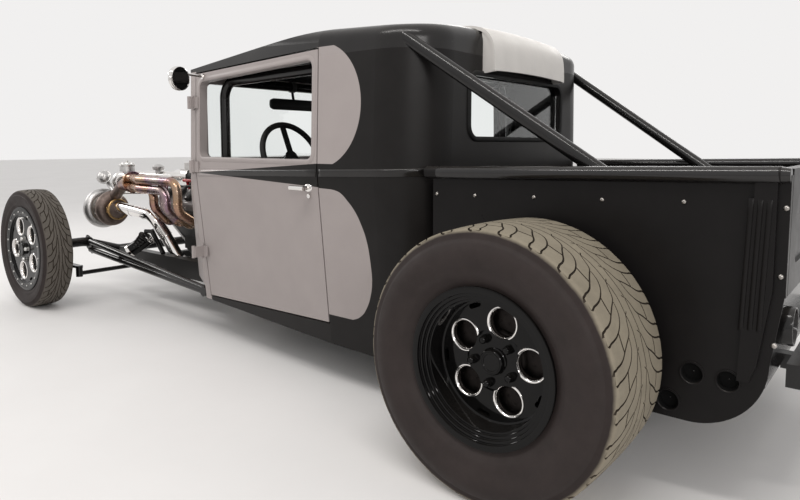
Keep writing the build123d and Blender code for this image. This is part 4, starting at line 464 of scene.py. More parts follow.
class Shape:
    """Faces gathered for one piece, each with the number of its look."""

    def __init__(self):
        self.verts, self.faces, self.which = [], [], []

    def add(self, verts, faces, which=None):
        base = len(self.verts)
        self.verts += [Vector(v) for v in verts]
        self.faces += [tuple(base + i for i in face) for face in faces]
        self.which += which or [0] * len(faces)

    def grid(self, rows, ring=False, closed=False, caps=False):
        """Sheet through rows of points; ring joins a row's ends, closed the last row to the first."""
        width = len(rows[0])
        faces = []
        for r in range(len(rows) - (0 if closed else 1)):
            low, high = r * width, (r + 1) % len(rows) * width
            for c in range(width - (0 if ring else 1)):
                d = (c + 1) % width
                faces.append((low + c, low + d, high + d, high + c))
        if caps:
            faces.append(tuple(range(width))[::-1])
            faces.append(tuple((len(rows) - 1) * width + c for c in range(width)))
        self.add([p for row in rows for p in row], faces)

    def turned(self, place, axis, profile, segments=28, closed=False):
        """Turned form of (distance along the axis, radius) pairs, capped at both ends unless closed."""
        u, v, w = basis(axis)
        rows = [circle(Vector(place) + w * (along * MM), u, v, r * MM, segments) for along, r in profile]
        self.grid(rows, ring=True, closed=closed, caps=not closed)

    def tube(self, points, radius, segments=12):
        """Round bar along points."""
        points = [Vector(p) for p in points]
        u = None
        rows = []
        for k, point in enumerate(points):
            ahead = (points[min(k + 1, len(points) - 1)] - points[max(k - 1, 0)]).normalized()
            u = basis(ahead)[0] if u is None else (u - ahead * u.dot(ahead)).normalized()
            size = radius[k] if isinstance(radius, list) else radius
            rows.append(circle(point, u, ahead.cross(u), size * MM, segments))
        self.grid(rows, ring=True, caps=True)

    def ring(self, place, axis, radius, thick, segments=36, sides=8, squash=1.0):
        """Round ring about an axis."""
        angles = (2 * math.pi * s / sides for s in range(sides))
        profile = [(math.sin(a) * thick * squash, radius + math.cos(a) * thick) for a in angles]
        self.turned(place, axis, profile, segments, closed=True)

    def bolt(self, place, axis, radius, height):
        """Six-sided head with a bevelled top."""
        self.turned(place, axis, [(-1, radius), (height * 0.8, radius), (height, radius * 0.82)], 6)

    def button(self, place, axis, r):
        """Domed screw head with a socket in it."""
        profile = [(-1, r), (r * 0.22, r * 0.96), (r * 0.5, r * 0.72), (r * 0.62, r * 0.42), (r * 0.3, r * 0.36)]
        self.turned(place, axis, profile, 14)

    def block(self, middle, half, bevel=2.0, axes=(AHEAD, LEFT, UP)):
        """Block with bevelled edges, turned to three directions."""
        u, v, w = axes
        a, b, c = half
        rows = []
        for height, inset in ((-c, bevel), (bevel - c, 0), (c - bevel, 0), (c, bevel)):
            p, q = a - inset, b - inset
            corners = (
                (bevel - p, -q), (p - bevel, -q), (p, bevel - q), (p, q - bevel),
                (p - bevel, q), (bevel - p, q), (-p, q - bevel), (-p, bevel - q),
            )
            rows.append([Vector(middle) + (u * x + v * y + w * height) * MM for x, y in corners])
        self.grid(rows, ring=True, caps=True)

    def build(self, name, looks, slot, body="chassis", replaces=(), weld=0.0, sharp=38):
        mesh = bpy.data.meshes.new(name)
        mesh.from_pydata([tuple(v) for v in self.verts], [], self.faces)
        for look in looks.split():
            mesh.materials.append(MAT[look].m)
        mesh.polygons.foreach_set("material_index", self.which)
        work = bmesh.new()
        work.from_mesh(mesh)
        if weld:
            bmesh.ops.remove_doubles(work, verts=work.verts, dist=weld)
        bmesh.ops.recalc_face_normals(work, faces=work.faces)
        work.to_mesh(mesh)
        work.free()
        mesh.shade_smooth()
        mesh.set_sharp_from_angle(angle=math.radians(sharp))
        obj = bpy.data.objects.new(name, mesh)
        bpy.context.scene.collection.objects.link(obj)
        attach(obj, body)
        if replaces:
            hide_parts(*replaces)
        return obj


# ---------------------------------------------------------------- tyres
# Grooves of one tread period on one half: places as (periods round, share of the half's width),
# then half widths in metres at the line's start and end
TREAD_LINES = (
    (((0.0, 0.0), (0.22, -0.028), (0.5, -0.03), (0.8, -0.012), (1.0, 0.0)), 0.0016, 0.0016),
    (((-0.075, -0.085), (-0.03, -0.05), (0.0, 0.0)), 0.0015, 0.0016),
    (((0.0, 0.0), (0.12, 0.055), (0.27, 0.105), (0.42, 0.15), (0.53, 0.225), (0.66, 0.39), (0.82, 0.56),
      (0.96, 0.70), (1.04, 0.84), (1.07, 0.98), (1.13, 1.09)), 0.0015, 0.0029),
    (((0.53, 0.225), (0.70, 0.235), (0.87, 0.265), (1.03, 0.33), (1.17, 0.43), (1.29, 0.56), (1.38, 0.70),
      (1.43, 0.85), (1.46, 0.99), (1.52, 1.08)), 0.0015, 0.0027),
    (((0.31, 0.585), (0.58, 0.595), (0.83, 0.58)), 0.0024, 0.0024),
)
FAR_HALF_LAG = 0.585
GROOVE_LIP = 0.0008
COLUMNS = 4
# Extra thickness of the side wall at some of its steps: a moulded line and a rim guard
WALL_STEPS = 15
WALL_EXTRA = {1: 0.0016, 2: 0.0004, 12: 0.0030, 13: 0.0028}


def walk(line):
    """Shares of the way along a line at its points."""
    runs = [0.0]
    for a, b in zip(line, line[1:]):
        runs.append(runs[-1] + (b - a).length)
    return [run / runs[-1] for run in runs]


def groove_lines(period, middle, span):
    """Centre lines of the grooves near one tread period, with a half width at each point."""
    lines = []
    for points, start, end in TREAD_LINES:
        for sign, lag in ((1, 0.0), (-1, FAR_HALF_LAG)):
            for copy in range(-3, 2):
                placed = [((u + lag + copy) * period, sign * (middle + w * span)) for u, w in points]
                line = curve_through(placed, 3)
                lines.append((line, [start + (end - start) * share for share in walk(line)]))
    return lines


def ribbon(line, widths, less):
    """Closed outline of a groove, less much narrower than its half widths."""
    first = line[0] + (line[1] - line[0]).normalized() * less
    last = line[-1] + (line[-2] - line[-1]).normalized() * less
    line = [first, *line[1:-1], last]
    left, right = [], []
    for k, point in enumerate(line):
        ahead = line[min(k + 1, len(line) - 1)] - line[max(k - 1, 0)]
        out = Vector((-ahead.y, ahead.x)).normalized() * (widths[k] - less)
        left.append(point + out)
        right.append(point - out)
    return left + right[::-1]


def tread_tile(period, middle, span, rows, depth):
    """One period of tread laid flat: points (round, across, height), and faces with 1 for land and 2 for groove."""
    lines = groove_lines(period, middle, span)
    verts, edges = [], []

    def chain(points, closed):
        base = len(verts)
        verts.extend(points)
        count = len(points)
        edges.extend((base + k, base + (k + 1) % count) for k in range(count if closed else count - 1))

    for line, widths in lines:
        chain(ribbon(line, widths, 0.0), True)
        chain(ribbon(line, widths, GROOVE_LIP), True)
    for column in range(COLUMNS + 1):
        u = period * column / COLUMNS
        chain([Vector((u, -rows[-1])), Vector((u, rows[-1]))], False)
    for v in rows:
        for sign in (-1, 1) if v else (1,):
            chain([Vector((0.0, v * sign)), Vector((period, v * sign))], False)
    flat, _, tris = geometry.delaunay_2d_cdt(verts, edges, [], 0, 1e-6)[:3]
    points = np.array([tuple(v) for v in flat])
    openness = np.zeros(len(points))
    for line, widths in lines:
        for a, b, wide_a, wide_b in zip(line, line[1:], widths, widths[1:]):
            start, run = np.array(a), np.array(b - a)
            share = np.clip(((points - start) @ run) / max(run @ run, 1e-12), 0.0, 1.0)
            gap = np.linalg.norm(points - start - share[:, None] * run, axis=1)
            wide = wide_a + (wide_b - wide_a) * share
            openness = np.maximum(openness, np.clip((wide - 0.00004 - gap) / (GROOVE_LIP - 0.00008), 0.0, 1.0))
    keep, which = [], []
    for face in tris:
        u, v = points[list(face)].mean(axis=0)
        if 0 < u < period and abs(v) < rows[-1]:
            keep.append(tuple(face))
            which.append(2 if openness[list(face)].mean() > 0.3 else 1)
    used = sorted({i for face in keep for i in face})
    number = {old: new for new, old in enumerate(used)}
    tile = [(points[i][0], points[i][1], -depth * openness[i]) for i in used]
    return tile, [tuple(number[i] for i in face) for face in keep], which


def tread_profile(radius, half):
    """Outline from the crown over the shoulder as (across, radius)."""
    outline = [(half * share, radius - 0.004 * share**2.2) for share in (0.0, 0.2, 0.4, 0.6, 0.75, 0.87, 0.95, 1.0)]
    shoulder = ((0.0045, 0.0072), (0.0082, 0.0125), (0.0112, 0.0195), (0.0135, 0.0280))
    return outline + [(half + out, radius - drop) for out, drop in shoulder]


def wall_profile(top, widest, middle_r, bead_y, flange_r):
    """Side wall from under the shoulder down to the bead."""
    end = (bead_y, flange_r + 0.003)
    pull = [2 * m - 0.5 * (a + b) for m, a, b in zip((widest, middle_r), top, end)]
    wall = []
    for k in range(1, WALL_STEPS + 1):
        t = k / WALL_STEPS
        y, r = ((1 - t) ** 2 * a + 2 * t * (1 - t) * c + t * t * b for a, b, c in zip(top, end, pull))
        wall.append((y + WALL_EXTRA.get(k, 0.0), r))
    return [*wall, (bead_y, flange_r - 0.012)]


def tyre(end, label, side, centre, widest, radius, half, middle, flange_r, bead_y, periods, depth):
    """Tyre with directional grooves cut into its tread."""
    outline = tread_profile(radius, half)
    runs = [0.0]
    normals = []
    for (y0, r0), (y1, r1) in zip(outline, outline[1:]):
        runs.append(runs[-1] + math.hypot(y1 - y0, r1 - r0))
    for k in range(len(outline)):
        y0, r0 = outline[max(k - 1, 0)]
        y1, r1 = outline[min(k + 1, len(outline) - 1)]
        size = math.hypot(y1 - y0, r1 - r0)
        normals.append(((r0 - r1) / size, (y1 - y0) / size))
    period = 2 * math.pi * radius / periods
    tile, faces, which = tread_tile(period, middle, half * 0.962 - middle, runs, depth)
    across = []
    for u, v, height in tile:
        s = abs(v)
        k = min(max(0, int(np.searchsorted(runs, s)) - 1), len(runs) - 2)
        t = (s - runs[k]) / (runs[k + 1] - runs[k])
        y, r = (a + (b - a) * t for a, b in zip(outline[k], outline[k + 1]))
        ny, nr = (a + (b - a) * t for a, b in zip(normals[k], normals[k + 1]))
        across.append((math.copysign(y + ny * height, v), r + nr * height))
    shape = Shape()

    def place(angle, y, r):
        return (centre[0] + math.cos(angle) * r, centre[1] + side * y, centre[2] + math.sin(angle) * r)

    for number in range(periods):
        turn = number * period
        shape.add([place((u + turn) / radius, y, r) for (u, _, _), (y, r) in zip(tile, across)], faces, which)
    wall = [outline[-1], *wall_profile(outline[-1], widest, (flange_r + radius) / 2 - 0.004, bead_y, flange_r)]
    count = periods * COLUMNS
    for sign in (1, -1):
        rows = [[place(2 * math.pi * k / count, sign * y, r) for k in range(count)] for y, r in wall]
        shape.grid(rows, ring=True)
    shape.build(
        f"tread_{end}_{label}", f"sidewall tread_{end} groove", "tyre_rubber", f"wheel_{end}_{label}",
        [f"tyre_{end}_{label}"], weld=0.00002, sharp=45,
    )


WHEELS = {}
# Radius, half tread, half centre rib, flange radius, bead's place across, periods and depth of the tread
for end, *sizes in (
    ("rear", REAR_R, 0.1465, 0.020, 0.2075, 0.1400, 26, 0.0048),
    ("front", FRONT_R, 0.0610, 0.009, 0.2320, 0.0620, 22, 0.0042),
):
    for label, side in SIDES:
        low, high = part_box(f"tyre_{end}_{label}")
        centre = [(a + b) / 2 for a, b in zip(low, high)]
        WHEELS[end, label] = Vector(centre)
        tyre(end, label, side, centre, (high[1] - low[1]) / 2 - 0.002, *sizes)


# ---------------------------------------------------------------- wheels
def sleeve(shape, place, axis, r, depth, wall):
    """Bright bevelled liner in a wheel's hole."""
    profile = [
        (0.4, r + 5.6), (2.2, r + 4), (2.6, r + 1.4), (0.4, r - wall * 0.4), (-3.5, r - wall * 0.78), (-8, r - wall),
        (-depth, r - wall), (-depth, r - 0.4), (-2, r - 0.2),
    ]
    shape.turned(place, axis, profile, 40, closed=True)


RIMS = dict(
    rear=dict(half=150, face=72, hole_r=39.5, ring_r=105, start=30, bead=190.5, deep=13, wall=4.0, disc_r=150, back=32),
    front=dict(half=66, face=56, hole_r=48, ring_r=130, start=-4, bead=218, deep=26, wall=6.6, disc_r=172, back=36),
)
HOLES = 5
LUG_RING_R = 60.3
FRONT_STEPS = [
    (66.8, 233), (67.6, 230), (67.6, 220), (66.4, 219), (66.4, 198.5), (65.5, 195), (59, 192.5), (57.5, 190.5),
    (56, 196), (63, 229),
]
CAP = [(0, 37.2), (3.5, 36.6), (6, 33.5), (17.2, 32.5), (19.5, 30.5), (19.6, 22.5), (18.2, 21.5), (18.4, 1)]
for (end, label), hub in WHEELS.items():
    row = RIMS[end]
    out = LEFT * dict(SIDES)[label]
    body = f"wheel_{end}_{label}"
    half, disc = row["half"], row["face"]
    face = hub + out * (disc * MM)
    bright, dark, nuts = Shape(), Shape(), Shape()

    def around(radius, degrees, lift=0.0):
        a = math.radians(degrees)
        return face + (AHEAD * math.cos(a) + UP * math.sin(a)) * (radius * MM) + out * lift

    for k in range(HOLES):
        angle = row["start"] + 360 / HOLES * k
        sleeve(bright, around(row["ring_r"], angle), out, row["hole_r"], row["deep"], row["wall"])
        lug = around(LUG_RING_R, angle + 180 / HOLES)
        nuts.turned(lug, out, [(0, 12.8), (4, 12.8), (5, 11.8), (17.5, 11.6)], 6)
        nuts.turned(lug + out * 0.0172, out, [(0, 10.5), (4, 9.8), (7.5, 6.6), (9, 2)], 14)
    dark.turned(face, out, CAP, 40)
    dark.ring(face + out * 0.0195, out, 26.8, 1.1, 40, 6)
    if end == "rear":
        steps = [(half + 0.8, 206.2), (half + 1.2, 203.5)]
        for radius, lip in ((190.5, 0.5), (181.5, -7.5), (172.5, -15.5), (165.2, -23.5)):
            top = half + lip
            steps += [(top + 0.4, radius + 1.6), (top, radius + 0.4), (top - 1.4, radius)]
            steps += [(top - 7.2, radius), (top - 8, radius - 0.8)]
        steps = steps[:-2] + [(disc + 10, 164.8), (disc + 3.5, 163), (disc + 0.8, 158.5)]
        steps += [(disc - 2, 166), (half - 30, 170), (half - 2, 205)]
    else:
        steps = FRONT_STEPS
        for spot in circle(hub + out * 0.0658, AHEAD, UP, 0.2085, 20, 9):
            nuts.bolt(spot, out, 4.8, 4.8)
    dark.turned(hub, out, steps, 96, closed=True)
    valve = around(row["bead"] - 35, row["start"] + 108, 0.004)
    nuts.turned(valve, out, [(0, 4.5), (10, 4.2), (11, 5.2), (20, 5), (22, 4)], 12)
    bright.build(f"hole_liners_{end}_{label}", "polished", "bright_metal", body)
    dark.build(f"rim_steps_{end}_{label}", "wheel", "wheel_black", body, sharp=30)
    nut_look = ("steel", "bright_metal") if end == "front" else ("wheel", "wheel_black")
    nuts.build(f"wheel_nuts_{end}_{label}", *nut_look, body)


# ---------------------------------------------------------------- cab
# Outline of the belt's moulding: (rise, lift) in millimetres
BEAD = (
    (8, -1), (7.2, 2.2), (5, 4.8), (1.8, 6.2), (-2.2, 6.2), (-7, 5), (-12, 3.4), (-16.5, 2), (-19.2, 1.2),
    (-20.2, -1.2),
)


def belt(start, end, count):
    """Places along the belt of the left side, with the direction outward."""
    stations = (start - (start - end) * k / count for k in range(count + 1))
    return [(on_skin(x, height_at("belt", x), 1), LEFT) for x in stations]


def rear_belt():
    """The belt behind the door, with its turn round the rear corner."""
    corner_x = CAB_BACK + CAB_CORNER_R
    line = belt(DOOR_REAR - 0.006, corner_x, 44)
    y0 = skin(corner_x, height_at("belt", corner_x)) - CAB_CORNER_R
    for k in range(1, 17):
        a = math.radians(56 * k / 16)
        out = Vector((-math.sin(a), math.cos(a), 0))
        x = corner_x - math.sin(a) * CAB_CORNER_R
        line.append((Vector((x, y0 + math.cos(a) * CAB_CORNER_R, height_at("belt", x))), out))
    return line


def bead(line, side):
    """Rounded moulding with a sharp upper shoulder and a long soft fall below it."""
    shape = Shape()
    rows = []
    last = len(line) - 1
    for k, (place, out) in enumerate(line):
        fade = min(1.0, k / 2, (last - k) / 2)
        row = [place + out * (lift * (fade if lift > 0 else 1.0) * MM) + UP * (rise * MM) for rise, lift in BEAD]
        rows.append([Vector((p.x, side * p.y, p.z)) for p in row])
    shape.grid(rows, ring=True, caps=True)
    return shape


for label, side in SIDES:
    bead(rear_belt(), side).build(f"belt_bead_quarter_{label}", "cab_bead", "body_paint", sharp=30)
    door_belt = belt(fore(1.716), fore(0.877), 48)
    bead(door_belt, side).build(f"belt_bead_door_{label}", "door_bead", "door_paint", f"door_{label}_body", sharp=30)


def rounded_loop(corners, radius, steps=7, longest=0.05):
    """Closed loop with rounded corners; its long runs are divided, so that strips follow curved skin."""
    loop = []
    count = len(corners)
    for k in range(count):
        before, here, after = (Vector(corners[(k + d) % count]) for d in (-1, 0, 1))
        a, b = (before - here).normalized(), (after - here).normalized()
        half = a.angle(b) / 2
        reach = radius / math.tan(half)
        middle = here + (a + b).normalized() * radius / math.sin(half)
        start, end = here + a * reach - middle, here + b * reach - middle
        angle = start.angle(end)
        for t in (step / steps for step in range(steps + 1)):
            near, far = math.sin((1 - t) * angle) / math.sin(angle), math.sin(t * angle) / math.sin(angle)
            loop.append(middle + (start * near + end * far))
    dense = []
    for a, b in zip(loop, [*loop[1:], loop[0]]):
        parts = max(1, int((b - a).length / longest))
        dense += [a + (b - a) * (k / parts) for k in range(parts)]
    return dense


def offset_loop(loop, distance):
    """The loop moved outward, each point square to its neighbours."""
    moved = []
    middle = sum(loop, Vector((0, 0))) / len(loop)
    for before, here, after in zip([loop[-1], *loop], loop, [*loop[1:], loop[0]]):
        along = after - before
        out = Vector((along.y, -along.x)).normalized()
        moved.append(here + out * (distance if out.dot(here - middle) >= 0 else -distance))
    return moved


# Soft raised bevel round the door window, and the rear glass's seal: (outward, lift) in metres
WINDOW = rounded_loop([(fore(0.902), 0.857), (fore(1.690), 0.857), (fore(1.690), 1.190), (fore(0.902), 1.220)], 0.028)
REVEAL = (
    (0.0006, -0.016), (0.0006, 0.0005), (0.0030, 0.0022), (0.0070, 0.0030), (0.0120, 0.0027), (0.0170, 0.0017),
    (0.0200, 0.0006), (0.0205, -0.0015),
)
for label, side in SIDES:
    bevel = Shape()
    rows = [[on_skin(p.x, p.y, side, lift) for p in offset_loop(WINDOW, wide)] for wide, lift in REVEAL]
    bevel.grid(rows, ring=True, closed=True)
    bevel.build(f"window_bevel_{label}", "door", "door_paint", f"door_{label}_body", sharp=50)

REAR_WINDOW = rounded_loop([(-0.360, 0.937), (0.360, 0.937), (0.360, 1.160), (-0.360, 1.160)], 0.045)
SEAL = ((-0.004, 0.001), (-0.003, 0.005), (0.007, 0.0075), (0.014, 0.004), (0.015, 0.0), (0.0056, -0.002))
seal = Shape()
rows = [[Vector((CAB_BACK - lift, p.x, p.y)) for p in offset_loop(REAR_WINDOW, wide)] for wide, lift in SEAL]
seal.grid(rows, ring=True, closed=True)
seal.build("rear_glass_seal", "rubber", "black_plastic", sharp=50)

# Plain white panel over the back of the roof and down to the rear window
VISOR = (
    (0.640, 1.3475), (0.580, 1.3485), (0.520, 1.3492), (0.480, 1.3480), (0.448, 1.3440), (0.406, 1.3305),
    (0.375, 1.2990), (0.362, 1.2650), (0.358, 1.2200), (0.357, 1.1800),
)
VISOR_HALF = 0.281
VISOR_T = 0.012
ROOF_CROWN = 2 * 5.6


def visor():
    """The panel with its two cheeks; it follows the roof's crown."""
    shape = Shape()
    line = curve_through([(fore(x), 0, z) for x, z in VISOR], 3)
    last = len(line) - 1
    ys = [VISOR_HALF * (k / 12 * 2 - 1) for k in range(13)]
    top, under = [], []
    for k, p in enumerate(line):
        ahead = line[min(k + 1, last)] - line[max(k - 1, 0)]
        out = Vector((-ahead.z, 0, ahead.x)).normalized()
        if out.z < out.x:
            out = -out
        top.append([Vector((p.x, y, p.z - y * y / ROOF_CROWN)) for y in ys])
        under.append([q - out * VISOR_T for q in top[-1]])
    shape.grid([*top, *reversed(under)], closed=True)
    count = len(top)
    for edge in (0, -1):
        outline = [row[edge] for row in top] + [row[edge] for row in reversed(under)]
        shape.add(outline, [(k, k + 1, 2 * count - 2 - k, 2 * count - 1 - k) for k in range(count - 1)])
    for sign in (-1, 1):
        y = sign * (VISOR_HALF - 0.003)
        cheek = [Vector((p.x, y, p.z - y * y / ROOF_CROWN - 0.002)) for p in line[2:]]
        back = [Vector((max(p.x, CAB_BACK + 0.004), y, max(p.z - 0.020, 1.166))) for p in line[2:]]
        inner = [[p - LEFT * (sign * 0.006) for p in row] for row in (cheek, back)]
        shape.grid([*inner, back, cheek], closed=True)
    shape.build("rear_visor_panel", "white", "body_paint", weld=0.00005, sharp=32)


visor()

# ---------------------------------------------------------------- door fittings
MIRROR_TURN = math.radians(12)
HANDLE_X, HINGE_X = fore(0.925), fore(1.737)
for label, side in SIDES:
    body = f"door_{label}_body"
    back = Vector((-math.cos(MIRROR_TURN), -side * math.sin(MIRROR_TURN), 0))
    head = Vector((fore(1.651), side * 0.724, 1.194))
    bright = Shape()
    bright.ring(head + back * 0.0080, back, 49, 2.2, 48, 8)
    bright.turned(head - back * 0.0078, -back, [(-2, 50.5), (2, 48), (7, 40), (10, 26), (11.2, 6)], 48)
    post = on_skin(HANDLE_X, 0.752, side)
    plate = ((1.0, -0.001), (1.0, 0.0014), (0.93, 0.0030), (0.72, 0.0044), (0.42, 0.0050))
    u, v = AHEAD * 0.0215, UP * 0.0150
    rows = [circle(post + LEFT * (side * lift), u, v, share, 36) for share, lift in plate]
    bright.grid(rows, ring=True, caps=True)
    lock = post + Vector((-0.004, side * 0.0035, -0.030))
    bright.turned(lock, (0, side, 0), [(-4, 9), (1, 8.6), (2.2, 7), (1.2, 4)], 24)
    bright.build(f"mirror_and_latch_trim_{label}", "chrome", "bright_metal", body)
    pane = Shape()
    pane.turned(head + back * 0.0078, back, [(-1, 48.2), (0.9, 47.8), (0.4, 30), (0.2, 4)], 48)
    pane.build(f"mirror_glass_{label}", "mirror", "black_plastic", body)
    caps = Shape()
    for z in (0.420, 0.812, 1.100):
        for axis in (UP, -UP):
            tip = on_skin(HINGE_X, z, side, 0.0085) + axis * 0.0285
            caps.turned(tip, axis, [(-2, 6.2), (2, 6), (4.5, 4), (5.2, 1)], 16)
    caps.build(f"hinge_pin_caps_{label}", "grey", "frame_paint")

# ---------------------------------------------------------------- bed and tail
SIDE_BOLTS = ((0.383, 0.753), (0.238, 0.755), (0.037, 0.760), (-0.165, 0.764), (-0.373, 0.770))
POST_BOLTS = ((-0.5920, 0.768), (-0.5880, 0.610), (-0.5820, 0.447))
FLUTES = (-0.5235, -0.5425, -0.5615)
SIDE_HOLES = ((-0.407, 0.341, 26), (-0.489, 0.339, 25), (-0.353, 0.258, 26))
BED_HALF = 0.590
BED_PLATE_Y = 0.6020
RAIL_STEPS = 40
for label, side in SIDES:
    out = LEFT * side
    screws, top_rail, ribs, cups = Shape(), Shape(), Shape(), Shape()
    for places, r in ((SIDE_BOLTS, 6.0), (POST_BOLTS, 6.8)):
        for x, z in places:
            screws.button((fore(x), side * BED_HALF, z), out, r)
    screws.build(f"bed_screws_{label}", "screw", "bright_metal")
    shares = [k / RAIL_STEPS for k in range(RAIL_STEPS + 1)]
    sizes = [20.4 * (0.8 if t in (0, 1) else 1) for t in shares]
    top_rail.tube([(fore(0.397 - 0.996 * t), side * 0.592, 0.822 + 0.021 * t) for t in shares], sizes, 28)
    top_rail.build(f"bed_top_rail_{label}", "rail", "body_paint")
    for flute in FLUTES:
        rows = []
        for t in (k / 24 for k in range(25)):
            lift = 0.0050 * min(1.0, math.sin(math.pi * t) * 9)
            middle = Vector((fore(flute + 0.010 * t), side * (BED_PLATE_Y - 0.0008), 0.788 - 0.315 * t))
            arc = (math.pi * s / 8 for s in range(9))
            rows.append([middle + AHEAD * (math.cos(a) * 0.0062) + out * (math.sin(a) * lift) for a in arc])
        ribs.grid(rows, ring=True, caps=True)
    for x, z, r in SIDE_HOLES:
        middle = Vector((fore(x), side * BED_HALF, z))
        ribs.turned(middle, out, [(2.2, r + 4.5), (2.6, r + 1), (0, r - 1.2), (-0.5, r + 4)], 40, closed=True)
        cup = [(-2, r - 0.4), (-20.5, r - 0.6), (-22.5, r + 4), (-24.5, r), (-24.5, 2), (-20.5, 1), (-20, r - 3)]
        cups.turned(middle, out, [*cup, (-2, r - 1.4)], 40, closed=True)
    ribs.build(f"bed_side_ribs_{label}", "body", "body_paint", sharp=50)
    cups.build(f"bed_hole_cups_{label}", "dark", "black_plastic", sharp=50)

lamps = Shape()
BEZEL = [(1.5, 42.4), (37, 42.4), (39.5, 44), (39.5, 47), (37.5, 48.2), (4, 48.2), (1.5, 47)]
for side in (-1, 1):
    lamps.turned((fore(-0.569), side * 0.470, 0.470), -AHEAD, BEZEL, 48, closed=True)
lamps.build("tail_lamp_bezels", "black_metal", "black_metal")

# Brakes seen through the wheel holes; their near-black iron is partly painted shade inside the wheel
for (end, label), hub in WHEELS.items():
    out = LEFT * dict(SIDES)[label]
    r = RIMS[end]["disc_r"]
    back = hub + out * ((RIMS[end]["face"] - RIMS[end]["back"]) * MM)
    rotor = Shape()
    disc = [(-10, 60), (-10, r - 1), (-9, r), (-1, r), (0, r - 1), (0, 78), (6, 74), (9, 70), (9, 60)]
    rotor.turned(back, out, disc, 72, closed=True)
    for share, turn in ((0.66, 0), (0.80, 7), (0.92, 0)):
        for spot in circle(back + out * 0.0002, AHEAD, UP, r * share * MM, 24, turn):
            rotor.turned(spot, out, [(0, 4.2), (0.6, 3.6), (-2.2, 3), (-3, 3.2)], 10, closed=True)
    rotor.build(f"brake_disc_{end}_{label}", "rotor", "bright_metal", f"wheel_{end}_{label}")

# ---------------------------------------------------------------- inside the cab
glass_mirror = Shape()
centre = Vector((fore(1.60), 0.09, 1.108))
u, v = AHEAD * 0.0105, UP * 0.0275
rows = []
for y in (-0.180 + 0.018 * k for k in range(21)):
    bowed = centre + Vector((0.006 * (y / 0.18) ** 2, y, 0))
    rows.append(circle(bowed, u, v, 1.0 if abs(y) < 0.165 else 0.72, 16, 11.25))
glass_mirror.grid(rows, ring=True, caps=True)
stalk = [centre + Vector((0.006, 0.03, 0.010)), centre + Vector((0.014, 0.03, 0.040)), (fore(1.620), 0.12, 1.180)]
glass_mirror.tube(curve_through(stalk, 5), 6.5)
foot = [(-13, 24.6), (-12, 26.2), (12, 26.2), (13, 24.6)]
glass_mirror.turned((fore(1.620), 0.12, 1.196), LEFT, foot)
glass_mirror.build("rear_view_mirror", "plastic", "black_plastic")

gauges, dials = Shape(), Shape()
for y, r in ((0.415, 21), (0.340, 30), (0.265, 30), (0.190, 21), (0.135, 21)):
    spot = (fore(1.6025), y, 0.775)
    bezel = [(-4, r + 3), (3, r + 3), (4.5, r + 1), (3, r - 1.5), (-2, r - 2)]
    gauges.turned(spot, -AHEAD, bezel, 32, closed=True)
    dials.turned(spot, -AHEAD, [(-3, r), (0.8, r), (1, 4), (3, 3), (3.2, 1)], 32)
gauges.build("gauge_bezels", "chrome", "bright_metal")
dials.build("gauge_dials", "mirror", "black_plastic")

# Thin rigid pan and back under the pads, on two feet
SEAT_SHELL = ((1.226, 0.4240), (0.812, 0.4240), (0.744, 0.8790), (0.760, 0.8795), (0.842, 0.4440), (1.224, 0.4600))
shell = Shape()
rows = [[(fore(x), y, z) for x, z in SEAT_SHELL] for y in (-0.466, -0.463, 0.463, 0.466)]
shell.grid(rows, ring=True, caps=True)
for y in (-0.3, 0.3):
    shell.block((fore(1.015), y, 0.3635), (173, 88, 62.5), 6)
shell.build("seat_shell", "plastic", "black_plastic", replaces=["seat"])

# Share along a pad and its size there
PAD_SHARES = (
    (0.0, 0.90), (0.012, 0.97), (0.04, 1.0), (0.2, 1.0), (0.4, 1.0), (0.6, 1.0), (0.8, 1.0), (0.96, 1.0),
    (0.988, 0.97), (1.0, 0.90),
)


def applied(obj):
    """The object's mesh with its modifiers applied; they are cleared."""
    depsgraph = bpy.context.evaluated_depsgraph_get()
    mesh = bpy.data.meshes.new_from_object(obj.evaluated_get(depsgraph))
    obj.modifiers.clear()
    return mesh


def soft_pad(name, corners, low_y, high_y, swell):
    """Padded block: corners in side view, remeshed and blown up a little by the cloth solver."""
    shape = Shape()
    steps = 10
    side_loop = []
    for corner, nxt in zip(corners, [*corners[1:], corners[0]]):
        side_loop += [Vector(corner) + (Vector(nxt) - Vector(corner)) * (s / steps) for s in range(steps)]
    middle = sum(side_loop, Vector((0, 0))) / len(side_loop)
    rows = []
    for t, shrink in PAD_SHARES:
        loop = [middle + (p - middle) * shrink for p in side_loop]
        rows.append([Vector((fore(p.x), low_y + (high_y - low_y) * t, p.y)) for p in loop])
    shape.grid(rows, ring=True, caps=True)
    pad = shape.build(name, "leather", "seat_leather", sharp=60)
    bpy.context.view_layer.objects.active = pad
    remesh = pad.modifiers.new("remesh", "REMESH")
    remesh.mode = "VOXEL"
    remesh.voxel_size = 0.006
    pad.data = applied(pad)
    start = np.array([tuple(v.co) for v in pad.data.vertices])
    cloth = pad.modifiers.new("cloth", "CLOTH")
    cloth.settings.use_pressure = True
    cloth.settings.uniform_pressure_force = 4.0
    cloth.settings.effector_weights.gravity = 0.0
    scene = bpy.context.scene
    for number in range(1, 21):
        scene.frame_set(number)
    blown = applied(pad)
    scene.frame_set(1)
    move = np.array([tuple(v.co) for v in blown.vertices]) - start
    share = np.minimum(1.0, swell / np.maximum(np.linalg.norm(move, axis=1), 1e-9))
    for vertex, spot in zip(blown.vertices, start + move * share[:, None]):
        vertex.co = spot
    pad.data = blown
    subdivide = pad.modifiers.new("smooth", "SUBSURF")
    subdivide.levels = subdivide.render_levels = 1
    pad.data = applied(pad)
    pad.data.shade_smooth()


